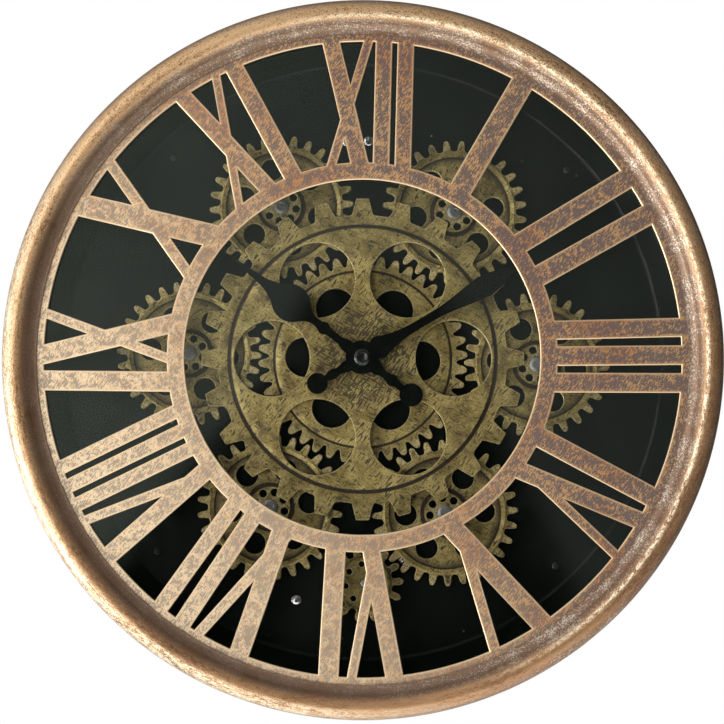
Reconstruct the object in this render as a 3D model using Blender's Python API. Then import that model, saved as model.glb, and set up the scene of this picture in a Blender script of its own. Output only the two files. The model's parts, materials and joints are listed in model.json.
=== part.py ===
"""Gear wall clock, 530 mm across: a copper rimmed case with a window of Roman numerals,
a train of one driving gear, six planet gears and a centre wheel, and clock hands in front.

The dial faces -Y, +Z is up and +X is to the right as one looks at the dial. The origin is on
the wall, where the axis of the hands meets it. Sizes are metres. A depth is a distance from
the wall towards the viewer, so a point at depth d has y = -d.
"""
import bmesh
import bpy
from math import acos, atan2, cos, degrees, hypot, pi, radians, sin
from mathutils import Matrix, Vector
from mathutils.geometry import tessellate_polygon

# Gaps
CLEAR = 0.0003                  # between pieces that touch, and radially on a shaft

# Bezel: a spun ring with a flat lip, a cove and a rolled edge
BEZEL_RADIUS = 0.2650
BEZEL_SHEET = 0.0015
LIP_SEAT = 0.0062               # width of lip that presses on the numeral plate
STACK_UNDER_LIP = 0.0068        # how far the plate, the glass and the pan reach under the lip
ROLL_RADIUS = 0.0095
COVE_RADIUS = 0.0080
WALL_FLANGE = 0.0100            # flange turned in against the wall
ROLL_STEPS = 5
COVE_STEPS = 3
HOLLOW_STEPS = 2                # inside of the roll, which nobody sees
BEZEL_SIDES = 48

# Numeral plate: one sheet with twelve numerals between the rim and the chapter ring
PLATE_SHEET = 0.0020
PLATE_MARGIN = 0.0054           # plate seen between the lip and the caps of the numerals
CHAPTER_OUTER = 0.1439          # feet of the numerals
CHAPTER_WIDTH = 0.0129
WINDOW_SIDES = 48
CHAPTER_SIDES = 48

# Strokes of each numeral, as (cap offset, foot offset, width), clockwise from the hour's ray
NUMERALS = {
    12: ((-0.0231, -0.0020, 0.0133), (0.0047, -0.0219, 0.0071),
         (0.0164, 0.0141, 0.0124), (0.0327, 0.0303, 0.0124)),
    1: ((0.0016, 0.0014, 0.0173),),
    2: ((-0.0158, -0.0138, 0.0156), (0.0151, 0.0141, 0.0158)),
    3: ((-0.0209, -0.0189, 0.0141), (-0.0004, 0.0002, 0.0144), (0.0201, 0.0197, 0.0145)),
    4: ((-0.0161, -0.0133, 0.0151), (0.0033, 0.0148, 0.0132), (0.0340, 0.0118, 0.0072)),
    5: ((-0.0158, 0.0054, 0.0159), (0.0236, 0.0018, 0.0082)),
    6: ((-0.0236, -0.0071, 0.0133), (0.0074, -0.0095, 0.0073), (0.0246, 0.0194, 0.0150)),
    7: ((-0.0314, -0.0140, 0.0148), (0.0017, -0.0179, 0.0081),
        (0.0159, 0.0103, 0.0131), (0.0358, 0.0269, 0.0122)),
    8: ((-0.0341, -0.0161, 0.0136), (-0.0032, -0.0176, 0.0073),
        (0.0101, 0.0040, 0.0107), (0.0251, 0.0187, 0.0106), (0.0399, 0.0337, 0.0105)),
    9: ((-0.0176, -0.0186, 0.0149), (0.0016, 0.0234, 0.0145), (0.0325, -0.0011, 0.0074)),
    10: ((-0.0059, 0.0211, 0.0173), (0.0314, -0.0103, 0.0088)),
    11: ((-0.0185, 0.0018, 0.0133), (0.0101, -0.0221, 0.0066), (0.0253, 0.0227, 0.0141)),
}

# Glass, its gasket and the black pressed pan behind the gears
GLASS_THICKNESS = 0.0030
GASKET_THICKNESS = 0.0015
GASKET_WIDTH = 0.0080
PAN_DEPTH = 0.0225              # room behind the pan for the movement and the gear motor
PAN_SHEET = 0.0015
PAN_FLANGE = 0.0103             # width of the flange under the gasket
PAN_WALL_LEAN = 0.0115          # how far the wall comes in from the flange to the floor
PAN_SIDES = 40

# Gear train. The planets stand on a circle round the centre wheel and mesh with its sun gear
MODULE = 0.00372
SUN_TEETH = 42
PLANET_TEETH = 28
DRIVE_TEETH = 14
PLANETS = 6
TRAIN_TURN = -2.0               # degrees that the planet circle is turned from level
PLANET_STEPS = (23, 10, 13, 9, 24, 19)   # teeth each planet is turned on from its sun tooth
GEAR_STANDOFF = 0.0040          # pan floor to the backs of the gears
GEAR_THICKNESS = 0.0050
WEB_SUNK = 0.0015               # how far the web lies below a planet's toothed rim
BOSS_PROUD = 0.0012

SUN_TOOTH = ((-2.02, 1.075), (0.05, 0.484))     # in modules: height over the pitch circle, half width
SUN_RIM = 0.0050                # roots of the teeth to the step on the face
SUN_RING_SUNK = 0.0008
SUN_HOLE_RADIUS = 0.0150
SUN_HOLE_CIRCLE = 0.0431
SUN_HOLE_SIDES = 10
SUN_STEP_SIDES = 24

PLANET_TOOTH = ((-1.50, 0.860), (0.597, 0.457))
PLANET_RIM = 0.0045             # roots of the teeth to the sunk web
PLANET_BOSS_RADIUS = 0.0153
WEB_HOLE_RADIUS = 0.0082
WEB_HOLE_CIRCLE = 0.0292
WEB_HOLES = 6
PLANET_RIM_SIDES = 18
PLANET_BOSS_SIDES = 12
WEB_HOLE_SIDES = 8

DRIVE_TOOTH = ((-1.49, 0.780), (0.742, 0.430))
DRIVE_RIM = 0.0015              # roots of the teeth to the raised disc
DRIVE_DISC_PROUD = 0.0015
DRIVE_DISC_SIDES = 20
DRIVE_PLANET = 5                # the planet that the driving gear turns, counted from the right
DRIVE_BEARING = 221.0           # degrees, from that planet's centre to the driving gear's
DRIVE_BACKLASH = 0.0010         # added to the pitch centre distance
DRIVE_SHAFT_RADIUS = 0.0030

# Front wheel with trapezium teeth and six round openings
WHEEL_TEETH = 24
WHEEL_GAP = 0.0010              # planet bosses to the back of the wheel
WHEEL_THICKNESS = 0.0030
WHEEL_TOOTH = ((0.1085, 0.0080), (0.1205, 0.0047))
WHEEL_STEP_OUTER = 0.1011
WHEEL_STEP_INNER = 0.0980
WHEEL_DISC_PROUD = 0.0018
WHEEL_HOLE_RADIUS = 0.0283
WHEEL_HOLE_CIRCLE = 0.0677
WHEEL_HOLES = 6
WHEEL_HOLE_SIDES = 18
WHEEL_SIDES = 36

# Hub of the wheel, on a fixed bush
BUSH_RADIUS = 0.0040
HUB_RADIUS = 0.0077
HUB_FLANGE_RADIUS = 0.0115
HUB_FLANGE = 0.0012
NUT_THICKNESS = 0.0022
NUT_RADIUS = 0.0080
COLLAR_THICKNESS = 0.0018
COLLAR_RADIUS = 0.0070

# Planet studs
STUD_RADIUS = 0.0040
STUD_SPACER_RADIUS = 0.0070
STUD_NECK_RADIUS = 0.0025       # through the pan
STUD_RIVET_RADIUS = 0.0046      # head that is set behind the pan
STUD_RIVET_HEIGHT = 0.0018
STUD_CAP_RADIUS = 0.0057
STUD_CAP_HEIGHT = 0.0020
STUD_CAP_FLAT = 0.80            # share of the cap's radius that is flat on top
STUD_SIDES = 10
HUB_SIDES = 12

# Hands, as (distance along the hand, half width) from the tail side of the boss to the tip
HAND_THICKNESS = 0.0010
HAND_GAP = 0.0030               # between the two hands
HAND_BOSS_RADIUS = 0.0124
BUSH_TO_HAND = 0.0012
PIPE_RADIUS = 0.0026
ARBOR_RADIUS = 0.0016
CAP_NUT_RADIUS = 0.0066
CAP_NUT_HEIGHT = 0.0032
CAP_NUT_FLAT = 0.75
GLASS_GAP = 0.0030              # cap nut to the back of the glass
HOUR_ANGLE = 142.4              # degrees above the +X ray, about ten past ten
MINUTE_ANGLE = 30.2
HOUR_BLADE = ((0.0156, 0.0048), (0.0204, 0.0031), (0.0252, 0.0028), (0.0319, 0.0032),
              (0.0364, 0.0049), (0.0410, 0.0031), (0.0467, 0.0031), (0.0519, 0.0056),
              (0.0576, 0.0108), (0.0625, 0.0132), (0.0668, 0.0139), (0.0738, 0.0125),
              (0.0816, 0.0072), (0.0905, 0.0038), (0.0994, 0.0026), (0.1280, 0.0005))
HOUR_TAIL = ((0.0140, 0.0048), (0.0193, 0.0028), (0.0230, 0.0030), (0.0282, 0.0045),
             (0.0326, 0.0028), (0.0367, 0.0030))
HOUR_BALL = (0.0456, 0.0087)    # distance behind the axis, radius
MINUTE_BLADE = ((0.0148, 0.0089), (0.0223, 0.0063), (0.0297, 0.0046), (0.0408, 0.0034),
                (0.0557, 0.0032), (0.0705, 0.0037), (0.0831, 0.0053), (0.0994, 0.0077),
                (0.1076, 0.0080), (0.1170, 0.0063), (0.1276, 0.0033), (0.1400, 0.0005))
MINUTE_TAIL = ((0.0145, 0.0044), (0.0200, 0.0029), (0.0245, 0.0039), (0.0289, 0.0029))
MINUTE_BALL = (0.0386, 0.0078)
BALL_POINTS = 10
BOSS_STEPS = 4                  # along the arc of the boss between the blade and the tail

# Quartz movement behind the centre, with its cell, bush and setting knob
MOVEMENT_SIDE = 0.0560
MOVEMENT_THICKNESS = 0.0157
CASE_CORNER = 0.0030
CELL_RADIUS = 0.0071
CELL_LENGTH = 0.0490
CELL_NUB_RADIUS = 0.0026
CELL_NUB = 0.0014
CELL_ROOM = 0.0006              # gap round a cell in its bay
MOVEMENT_CELL_DROP = 0.0190     # the cell's axis below the centre
KNOB_RADIUS = 0.0085
KNOB_THICKNESS = 0.0030
KNOB_STEM_RADIUS = 0.0030
KNOB_STEM = 0.0025
KNOB_PLACE = (0.0120, 0.0130)   # across and up from the centre
KNOB_FLUTES = 10
FLUTE_ROOT = 0.93               # radius between the flutes, as a share of the knob's
FLUTE_TIP = 0.70                # width of a flute at its tip, as a share of that at its root

# Gear motor with two cells and a slide switch, behind the driving gear
MOTOR_WIDTH = 0.0960
MOTOR_HEIGHT = 0.0680
MOTOR_THICKNESS = 0.0167
MOTOR_FROM_SHAFT = (-0.0114, 0.0069)            # middle of the case from the driving shaft
MOTOR_CELLS = ((-0.0170, 0.0225), (-0.0170, 0.0072))    # these three from the middle of the case
MOTOR_SCREWS = ((-0.0398, -0.0198), (0.0400, 0.0110))
SWITCH_PLACE = (0.0300, -0.0250)
SWITCH_WIDTH = 0.0050
SWITCH_HEIGHT = 0.0034
SWITCH_PROUD = 0.0018
SWITCH_TRAVEL = 0.0030
SWITCH_SLOT_DEPTH = 0.0020

# Brackets from the pan to the rim, and the hanger
BRACKETS = 4
BRACKET_SCREW_INSET = 0.0140    # from the edge of the pan's floor
BRACKET_WIDTH = 0.0200
BRACKET_SHEET = 0.0015
BRACKET_TAB = 0.0120            # height of the tab on the rim
BRACKET_INBOARD = 0.0080        # foot beyond its screw
HANGER_WIDTH = 0.0440
HANGER_SHEET = 0.0015
HANGER_INSET = 0.0109           # top edge from the edge of the pan's floor
HANGER_PLATE = 0.0340           # height of the plate near the wall
HANGER_FOOT = 0.0300            # height of the foot on the pan
HANGER_DEPTH = 0.0040           # back of the hanger plate, from the wall
KEYHOLE_RADIUS = 0.0050
KEYHOLE_DROP = 0.0215           # eye from the top edge
KEYHOLE_SLOT = 0.0025           # half the slot's width
KEYHOLE_RISE = 0.0110
EYE_STEPS = 8
SLOT_STEPS = 4
HANGER_RIVETS = (0.0043, -0.0130)
HANGER_RIVET_RISE = 0.0162      # from the lowest edge of the foot

# Screws and rivets
SCREW_SHANK = 0.0018
SCREW_HEAD = 0.0032
RIVET_HEAD = 0.0040
HEAD_HEIGHT = 0.0018
HEAD_FLAT = 0.60
BRACKET_SCREW_REACH = 0.0050    # behind the front of the bracket's foot
MOTOR_SCREW_REACH = 0.0055
MOTOR_SCREW_HOLE = 0.0062
HANGER_RIVET_REACH = 0.0018     # set head behind the hanger's foot
SCREW_SIDES = 6
RIVET_SIDES = 8

PLATE_ROUNDS = 25               # edges of flat pieces that turn by less look round

# Depths, from the wall towards the viewer
pan_front = PAN_DEPTH + PAN_SHEET
gear_back = pan_front + GEAR_STANDOFF
gear_front = gear_back + GEAR_THICKNESS
boss_front = gear_front + BOSS_PROUD
wheel_back = boss_front + WHEEL_GAP
wheel_front = wheel_back + WHEEL_THICKNESS
disc_front = wheel_front + WHEEL_DISC_PROUD
hub_front = disc_front + CLEAR + HUB_FLANGE
collar_back = hub_front + CLEAR
bush_front = collar_back + COLLAR_THICKNESS
hour_back = bush_front + BUSH_TO_HAND
hour_front = hour_back + HAND_THICKNESS
minute_back = hour_front + HAND_GAP
minute_front = minute_back + HAND_THICKNESS
cap_nut_back = minute_front + CLEAR
glass_back = cap_nut_back + CAP_NUT_HEIGHT + GLASS_GAP
glass_front = glass_back + GLASS_THICKNESS
gasket_front = glass_back - CLEAR
gasket_back = gasket_front - GASKET_THICKNESS
flange_front = gasket_back - CLEAR
plate_back = glass_front + CLEAR
plate_front = plate_back + PLATE_SHEET
lip_back = plate_front + CLEAR
lip_front = lip_back + BEZEL_SHEET
case_front = PAN_DEPTH - CLEAR                  # front faces of what is fixed behind the pan
movement_back = case_front - MOVEMENT_THICKNESS
motor_back = case_front - MOTOR_THICKNESS
web_front = gear_front - WEB_SUNK

# Radii of the case, from the rim inwards
roll_centre = BEZEL_RADIUS - ROLL_RADIUS
lip_radius = roll_centre - (ROLL_RADIUS ** 2 + 2 * ROLL_RADIUS * COVE_RADIUS) ** 0.5
stack_radius = lip_radius + STACK_UNDER_LIP     # plate, glass, gasket and flange
window_radius = lip_radius - PLATE_MARGIN       # caps of the numerals
chapter_inner = CHAPTER_OUTER - CHAPTER_WIDTH
pan_wall_radius = stack_radius - PAN_FLANGE
pan_floor_radius = pan_wall_radius - PAN_WALL_LEAN
bracket_circle = pan_floor_radius - BRACKET_SCREW_INSET

# Heights of the hanger
hanger_top = pan_floor_radius - HANGER_INSET
foot_high = hanger_top - HANGER_PLATE
foot_low = foot_high - HANGER_FOOT
keyhole_height = hanger_top - KEYHOLE_DROP
rivet_places = [(across, foot_low + HANGER_RIVET_RISE) for across in HANGER_RIVETS]

# Places across the dial
orbit = MODULE * (SUN_TEETH + PLANET_TEETH) / 2
drive_distance = MODULE * (DRIVE_TEETH + PLANET_TEETH) / 2 + DRIVE_BACKLASH


def polar(radius, angle):
    """Point at an angle in degrees, anticlockwise from +X as the dial is seen."""
    return (radius * cos(radians(angle)), radius * sin(radians(angle)))


def planet_bearing(number):
    return TRAIN_TURN + 360 * number / PLANETS


def shifted(point, shift):
    return (point[0] + shift[0], point[1] + shift[1])


def drive_centre():
    return shifted(polar(orbit, planet_bearing(DRIVE_PLANET)), polar(drive_distance, DRIVE_BEARING))


def motor_place(offset=(0.0, 0.0)):
    return shifted(shifted(drive_centre(), MOTOR_FROM_SHAFT), offset)


# Outlines, as lists of (across, up)

def circle(radius, sides, centre=(0.0, 0.0), turn=0.0):
    points = [polar(radius, turn + 360 * n / sides) for n in range(sides)]
    return [(centre[0] + x, centre[1] + z) for x, z in points]


def bore(radius, sides, centre=(0.0, 0.0)):
    """Hole whose flats keep the running clearance to a round shaft of this radius."""
    return circle(bore_corner(radius, sides), sides, centre)


def bore_corner(radius, sides):
    return (radius + CLEAR) / cos(pi / sides)


def arc(centre, radius, start, end, steps):
    """Points along an arc, from one angle to another, both ends included."""
    points = [polar(radius, start + (end - start) * n / steps) for n in range(steps + 1)]
    return [(centre[0] + x, centre[1] + z) for x, z in points]


def ring_of_circles(radius, sides, pitch_radius, count, turn=0.0):
    """Equal round holes on a pitch circle."""
    centres = [polar(pitch_radius, turn + 360 * n / count) for n in range(count)]
    return [circle(radius, sides, centre, turn) for centre in centres]


def tooth_stations(teeth, tooth):
    """Radii and half widths of a tooth that is given in modules."""
    return [(MODULE * (teeth / 2 + height), MODULE * half) for height, half in tooth]


def gear_outline(teeth, stations, phase):
    """Edge of a gear: stations are (radius, half width) from the root of a tooth to its tip."""
    points = []
    for tooth in range(teeth):
        middle = phase + 360 * tooth / teeth
        rising = [(radius, middle - degrees(half / radius)) for radius, half in stations]
        falling = [(radius, middle + degrees(half / radius)) for radius, half in reversed(stations)]
        points += [polar(radius, angle) for radius, angle in rising + falling]
    return points


def rectangle(width, height, centre=(0.0, 0.0)):
    signs = ((-1, -1), (1, -1), (1, 1), (-1, 1))
    return [(centre[0] + sx * width / 2, centre[1] + sz * height / 2) for sx, sz in signs]


def hand_outline(blade, tail, ball):
    """A hand that points along +X, with a round boss on the axis and a ball on its tail."""
    distance, radius = ball
    boss_front_angle = degrees(acos(blade[0][0] / hypot(*blade[0])))
    boss_tail_angle = 180 - degrees(atan2(tail[0][1], tail[0][0]))
    boss = arc((0.0, 0.0), HAND_BOSS_RADIUS, boss_front_angle, boss_tail_angle, BOSS_STEPS)[1:-1]
    neck = degrees(atan2(tail[-1][1], distance - tail[-1][0]))
    ball_arc = arc((-distance, 0.0), radius, neck, 180, BALL_POINTS // 2)[1:]
    upper = list(reversed(blade)) + boss + [(-s, half) for s, half in tail]
    upper += ball_arc
    lower = [(s, -half) for s, half in reversed(upper[:-1])]
    return upper + lower


# Solids. A solid is made from loops of vertices that are bridged and filled

class Solid:
    """Collects the faces of one piece, with a vertex shared wherever two loops meet."""

    def __init__(self):
        self.mesh = bmesh.new()
        self.vertices = {}

    def vertex(self, x, z, depth):
        key = (round(x, 7), round(z, 7), round(depth, 7))
        if key not in self.vertices:
            self.vertices[key] = self.mesh.verts.new((x, -depth, z))
        return self.vertices[key]

    def loop(self, outline, depth):
        return [self.vertex(x, z, depth) for x, z in outline]

    def bridge(self, one, other):
        """Wall between two loops with as many vertices."""
        for n in range(len(one)):
            m = (n + 1) % len(one)
            corners = [one[n], one[m], other[m], other[n]]
            corners = list(dict.fromkeys(corners))
            if len(corners) > 2:
                self.mesh.faces.new(corners)

    def fill(self, loops):
        """Flat face inside the first loop and outside the others."""
        flat = [vertex for loop in loops for vertex in loop]
        outlines = [[vertex.co for vertex in loop] for loop in loops]
        for corners in tessellate_polygon(outlines):
            self.mesh.faces.new([flat[n] for n in corners])

    def finish(self):
        bmesh.ops.recalc_face_normals(self.mesh, faces=self.mesh.faces)
        return self.mesh


def stepped_plate(back, regions):
    """Plate with a flat back. Regions run inwards, each (outer, inner, holes, front depth)."""
    solid = Solid()
    edge = regions[0][0]
    solid.bridge(solid.loop(edge, back), solid.loop(edge, regions[0][3]))
    all_holes = []
    inside = None
    for outer, inner, holes, front in regions:
        outer_loop = solid.loop(outer, front)
        if inside is not None:
            solid.bridge(inside, outer_loop)
        loops = [outer_loop]
        if inner is not None:
            inside = solid.loop(inner, front)
            loops.append(inside)
        for hole in holes:
            hole_front = solid.loop(hole, front)
            solid.bridge(hole_front, solid.loop(hole, back))
            loops.append(hole_front)
        solid.fill(loops)
        all_holes += holes
    solid.fill([solid.loop(edge, back)] + [solid.loop(hole, back) for hole in all_holes])
    return solid.finish()


def plate(outline, holes, back, front):
    return stepped_plate(back, [(outline, None, holes, front)])


def turned(profile, sides, turn=0.0, centre=(0.0, 0.0)):
    """Body turned about an axis square to the dial, from a closed profile of (radius, depth)."""
    solid = Solid()
    loops = []
    for radius, depth in profile:
        loops.append(solid.loop(circle(max(radius, 0.0), sides, centre, turn), depth))
    for one, other in zip(loops, loops[1:] + loops[:1]):
        if one[0] is not one[1] or other[0] is not other[1]:
            solid.bridge(one, other)
    return solid.finish()


def joined(meshes):
    """Several separate solids in one mesh."""
    whole = bmesh.new()
    for mesh in meshes:
        part = bpy.data.meshes.new("part")
        mesh.to_mesh(part)
        whole.from_mesh(part)
        bpy.data.meshes.remove(part)
    return whole


# Materials and objects

def make_material(name, colour, metallic, roughness, alpha=1.0):
    material = bpy.data.materials.new(name)
    material.use_nodes = True
    shader = material.node_tree.nodes["Principled BSDF"]
    shader.inputs["Base Color"].default_value = (*colour, 1.0)
    shader.inputs["Metallic"].default_value = metallic
    shader.inputs["Roughness"].default_value = roughness
    shader.inputs["Alpha"].default_value = alpha
    material.diffuse_color = (*colour, alpha)
    return material


def add_object(name, mesh, material, centre=(0.0, 0.0), turn=0.0, round_below=40):
    """Object from a mesh made round its own axis, which is set at centre and turned on it.

    Edges that turn by less than round_below degrees are shaded smooth.
    """
    data = bpy.data.meshes.new(name)
    mesh.to_mesh(data)
    mesh.free()
    piece = bpy.data.objects.new(name, data)
    bpy.context.scene.collection.objects.link(piece)
    piece.location = (centre[0], 0.0, centre[1])
    piece.rotation_euler.y = -radians(turn)
    data.materials.append(material)
    if round_below:
        data.shade_smooth()
        data.set_sharp_from_angle(angle=radians(round_below))
    return piece


def copy_object(name, original, centre, turn):
    piece = bpy.data.objects.new(name, original.data)
    bpy.context.scene.collection.objects.link(piece)
    piece.location = (centre[0], 0.0, centre[1])
    piece.rotation_euler.y = -radians(turn)
    return piece


def add_cutter(name, mesh, material):
    cutter = add_object(name, mesh, material, round_below=0)
    cutter.hide_render = True
    cutter.display_type = "WIRE"
    return cutter


def cut(piece, cutter, crossing=False):
    modifier = piece.modifiers.new(cutter.name, "BOOLEAN")
    modifier.operation = "DIFFERENCE"
    modifier.object = cutter
    modifier.use_self = crossing


# Case

def make_bezel(material):
    """Spun ring: the roll and the cove are arcs that meet at one tangent."""
    meet = degrees(atan2(COVE_RADIUS, lip_radius - roll_centre))
    roll = arc((roll_centre, lip_front), ROLL_RADIUS, 0, meet, ROLL_STEPS)
    cove = arc((lip_radius, lip_front + COVE_RADIUS), COVE_RADIUS, meet - 180, -90, COVE_STEPS)[1:]
    inner_wall = BEZEL_RADIUS - BEZEL_SHEET
    inside = arc((roll_centre, lip_front), ROLL_RADIUS - BEZEL_SHEET, meet, 0, HOLLOW_STEPS)
    seat = [(lip_radius, lip_back), (lip_radius + LIP_SEAT, lip_back)]
    back = [(inner_wall, BEZEL_SHEET), (BEZEL_RADIUS - WALL_FLANGE, BEZEL_SHEET),
            (BEZEL_RADIUS - WALL_FLANGE, 0.0), (BEZEL_RADIUS, 0.0)]
    profile = roll + cove + seat + inside + back
    add_object("bezel_ring", turned(profile, BEZEL_SIDES), material)


def stroke_outline(hour, cap, foot, width):
    """One stroke, run past both rings, as a four sided outline."""
    ray = 90 - 30 * hour
    along = Vector(polar(1.0, ray))
    across = Vector(polar(1.0, ray - 90))
    top = along * window_radius + across * cap
    bottom = along * CHAPTER_OUTER + across * foot
    way = (top - bottom).normalized()
    side = Vector((-way.y, way.x)) * width / 2
    overrun = way * CHAPTER_WIDTH
    top += overrun
    bottom -= overrun
    return [tuple(point) for point in (bottom + side, bottom - side, top - side, top + side)]


def make_numeral_plate(material):
    """The windows are what the strokes leave of a band between the two rings."""
    above = PLATE_SHEET
    strokes = [plate(stroke_outline(hour, *stroke), [], plate_back - 2 * above, plate_front + 2 * above)
               for hour, rows in NUMERALS.items() for stroke in rows]
    stroke_bars = add_cutter("stroke_bars", joined(strokes), material)
    band = turned([(CHAPTER_OUTER, plate_back - above), (window_radius, plate_back - above),
                   (window_radius, plate_front + above), (CHAPTER_OUTER, plate_front + above)],
                  WINDOW_SIDES)
    windows = add_cutter("window_band", band, material)
    cut(windows, stroke_bars, crossing=True)
    sheet = turned([(chapter_inner, plate_back), (stack_radius, plate_back),
                    (stack_radius, plate_front), (chapter_inner, plate_front)], CHAPTER_SIDES)
    cut(add_object("numeral_plate", sheet, material, round_below=0), windows)


def make_glass(glass_material, rubber_material):
    rim = circle(stack_radius, PAN_SIDES)
    add_object("front_glass", plate(rim, [], glass_back, glass_front), glass_material)
    inner = stack_radius - GASKET_WIDTH
    profile = [(inner, gasket_back), (stack_radius, gasket_back),
               (stack_radius, gasket_front), (inner, gasket_front)]
    add_object("glass_gasket", turned(profile, PAN_SIDES), rubber_material)


def screw_hole(centre):
    return bore(SCREW_SHANK, SCREW_SIDES, centre)


def bracket_places():
    return [polar(bracket_circle, bearing) for bearing in bracket_bearings()]


def motor_screw_places():
    return [motor_place(offset) for offset in MOTOR_SCREWS]


def bracket_bearings():
    return [TRAIN_TURN + 360 * (n + 0.5) / BRACKETS for n in range(BRACKETS)]


def make_back_pan(material):
    """Pressed dish: a pierced floor, a sloping wall and a flange under the gasket."""
    solid = Solid()
    rise = flange_front - pan_front
    slope = PAN_SHEET * hypot(rise, PAN_WALL_LEAN) / rise
    rim = [(pan_floor_radius, pan_front), (pan_wall_radius, flange_front),
           (stack_radius, flange_front), (stack_radius, flange_front - PAN_SHEET),
           (pan_wall_radius + slope, flange_front - PAN_SHEET), (pan_floor_radius + slope, PAN_DEPTH)]
    loops = [solid.loop(circle(radius, PAN_SIDES), depth) for radius, depth in rim]
    for one, other in zip(loops, loops[1:]):
        solid.bridge(one, other)
    holes = [bore(BUSH_RADIUS, HUB_SIDES)]
    for number in range(PLANETS):
        holes.append(bore(STUD_NECK_RADIUS, STUD_SIDES, polar(orbit, planet_bearing(number))))
    holes.append(bore(DRIVE_SHAFT_RADIUS + CLEAR, STUD_SIDES, drive_centre()))
    for centre in bracket_places() + motor_screw_places() + rivet_places:
        holes.append(screw_hole(centre))
    fronts = [solid.loop(hole, pan_front) for hole in holes]
    backs = [solid.loop(hole, PAN_DEPTH) for hole in holes]
    for one, other in zip(fronts, backs):
        solid.bridge(one, other)
    solid.fill([loops[0]] + fronts)
    solid.fill([loops[-1]] + backs)
    add_object("back_pan", solid.finish(), material)


def make_brackets(steel):
    """Angle brackets: a foot under the pan and a tab up the inside of the rim."""
    reach = (BEZEL_RADIUS - BEZEL_SHEET) * cos(pi / BEZEL_SIDES) - CLEAR
    face = (reach ** 2 - (BRACKET_WIDTH / 2) ** 2) ** 0.5
    inboard = bracket_circle - BRACKET_INBOARD
    foot_front = PAN_DEPTH - CLEAR
    foot_back = foot_front - BRACKET_SHEET
    foot = [(inboard, foot_front), (face, foot_front), (face, foot_front - BRACKET_TAB),
            (face - BRACKET_SHEET, foot_front - BRACKET_TAB), (face - BRACKET_SHEET, foot_back),
            (inboard, foot_back)]
    drill_mesh = plate(screw_hole((bracket_circle, 0.0)), [], foot_back - BRACKET_SHEET,
                       foot_front + BRACKET_SHEET)
    for number, bearing in enumerate(bracket_bearings(), start=1):
        solid = Solid()
        low = [solid.vertex(radius, -BRACKET_WIDTH / 2, depth) for radius, depth in foot]
        high = [solid.vertex(radius, BRACKET_WIDTH / 2, depth) for radius, depth in foot]
        solid.bridge(low, high)
        solid.mesh.faces.new(low)
        solid.mesh.faces.new(high)
        bracket = add_object(f"rim_bracket_{number}", solid.finish(), steel, turn=bearing, round_below=0)
        cutter = add_cutter(f"bracket_drill_{number}", drill_mesh.copy(), steel)
        cutter.rotation_euler.y = -radians(bearing)
        cut(bracket, cutter)
    drill_mesh.free()


def make_hanger(steel):
    """Cranked strip: a foot on the pan, a riser, and a plate with a keyhole near the wall."""
    foot_front = PAN_DEPTH - CLEAR
    foot_back = foot_front - HANGER_SHEET
    crank = [(foot_low, foot_front), (foot_high, foot_front), (foot_high, HANGER_DEPTH + HANGER_SHEET),
             (hanger_top, HANGER_DEPTH + HANGER_SHEET), (hanger_top, HANGER_DEPTH),
             (foot_high - HANGER_SHEET, HANGER_DEPTH), (foot_high - HANGER_SHEET, foot_back),
             (foot_low, foot_back)]
    solid = Solid()
    left = [solid.vertex(-HANGER_WIDTH / 2, up, depth) for up, depth in crank]
    right = [solid.vertex(HANGER_WIDTH / 2, up, depth) for up, depth in crank]
    solid.bridge(left, right)
    solid.mesh.faces.new(left)
    solid.mesh.faces.new(right)
    hanger = add_object("hanger_bracket", solid.finish(), steel, round_below=0)
    shoulder = degrees(acos(KEYHOLE_SLOT / KEYHOLE_RADIUS))
    eye = arc((0.0, keyhole_height), KEYHOLE_RADIUS, 180 - shoulder, 360 + shoulder, EYE_STEPS)
    slot_end = arc((0.0, keyhole_height + KEYHOLE_RISE), KEYHOLE_SLOT, 0, 180, SLOT_STEPS)
    keyhole = plate(eye + slot_end, [], HANGER_DEPTH - HANGER_SHEET, HANGER_DEPTH + 2 * HANGER_SHEET)
    cut(hanger, add_cutter("keyhole", keyhole, steel))
    drills = [plate(screw_hole(centre), [], foot_back - HANGER_SHEET, foot_front + HANGER_SHEET)
              for centre in rivet_places]
    cut(hanger, add_cutter("hanger_drills", joined(drills), steel))


# Gear train

def make_sun_gear(material):
    phase = TRAIN_TURN + 180 / SUN_TEETH
    teeth = tooth_stations(SUN_TEETH, SUN_TOOTH)
    step = circle(teeth[0][0] - SUN_RIM, SUN_STEP_SIDES)
    holes = ring_of_circles(SUN_HOLE_RADIUS, SUN_HOLE_SIDES, SUN_HOLE_CIRCLE, PLANETS, TRAIN_TURN)
    seat = bore(HUB_RADIUS, HUB_SIDES)
    regions = [(gear_outline(SUN_TEETH, teeth, phase), step, [], gear_front - SUN_RING_SUNK),
               (step, None, holes + [seat], gear_front)]
    add_object("sun_gear", stepped_plate(gear_back, regions), material, round_below=PLATE_ROUNDS)


def make_gear_wheel(material):
    outer_step = circle(WHEEL_STEP_OUTER, WHEEL_SIDES)
    inner_step = circle(WHEEL_STEP_INNER, WHEEL_SIDES)
    holes = ring_of_circles(WHEEL_HOLE_RADIUS, WHEEL_HOLE_SIDES, WHEEL_HOLE_CIRCLE, WHEEL_HOLES)
    seat = bore(HUB_RADIUS, HUB_SIDES)
    edge = gear_outline(WHEEL_TEETH, WHEEL_TOOTH, 0.0)
    regions = [(edge, outer_step, [], wheel_front), (inner_step, None, holes + [seat], disc_front)]
    add_object("gear_wheel", stepped_plate(wheel_back, regions), material, round_below=PLATE_ROUNDS)


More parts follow.
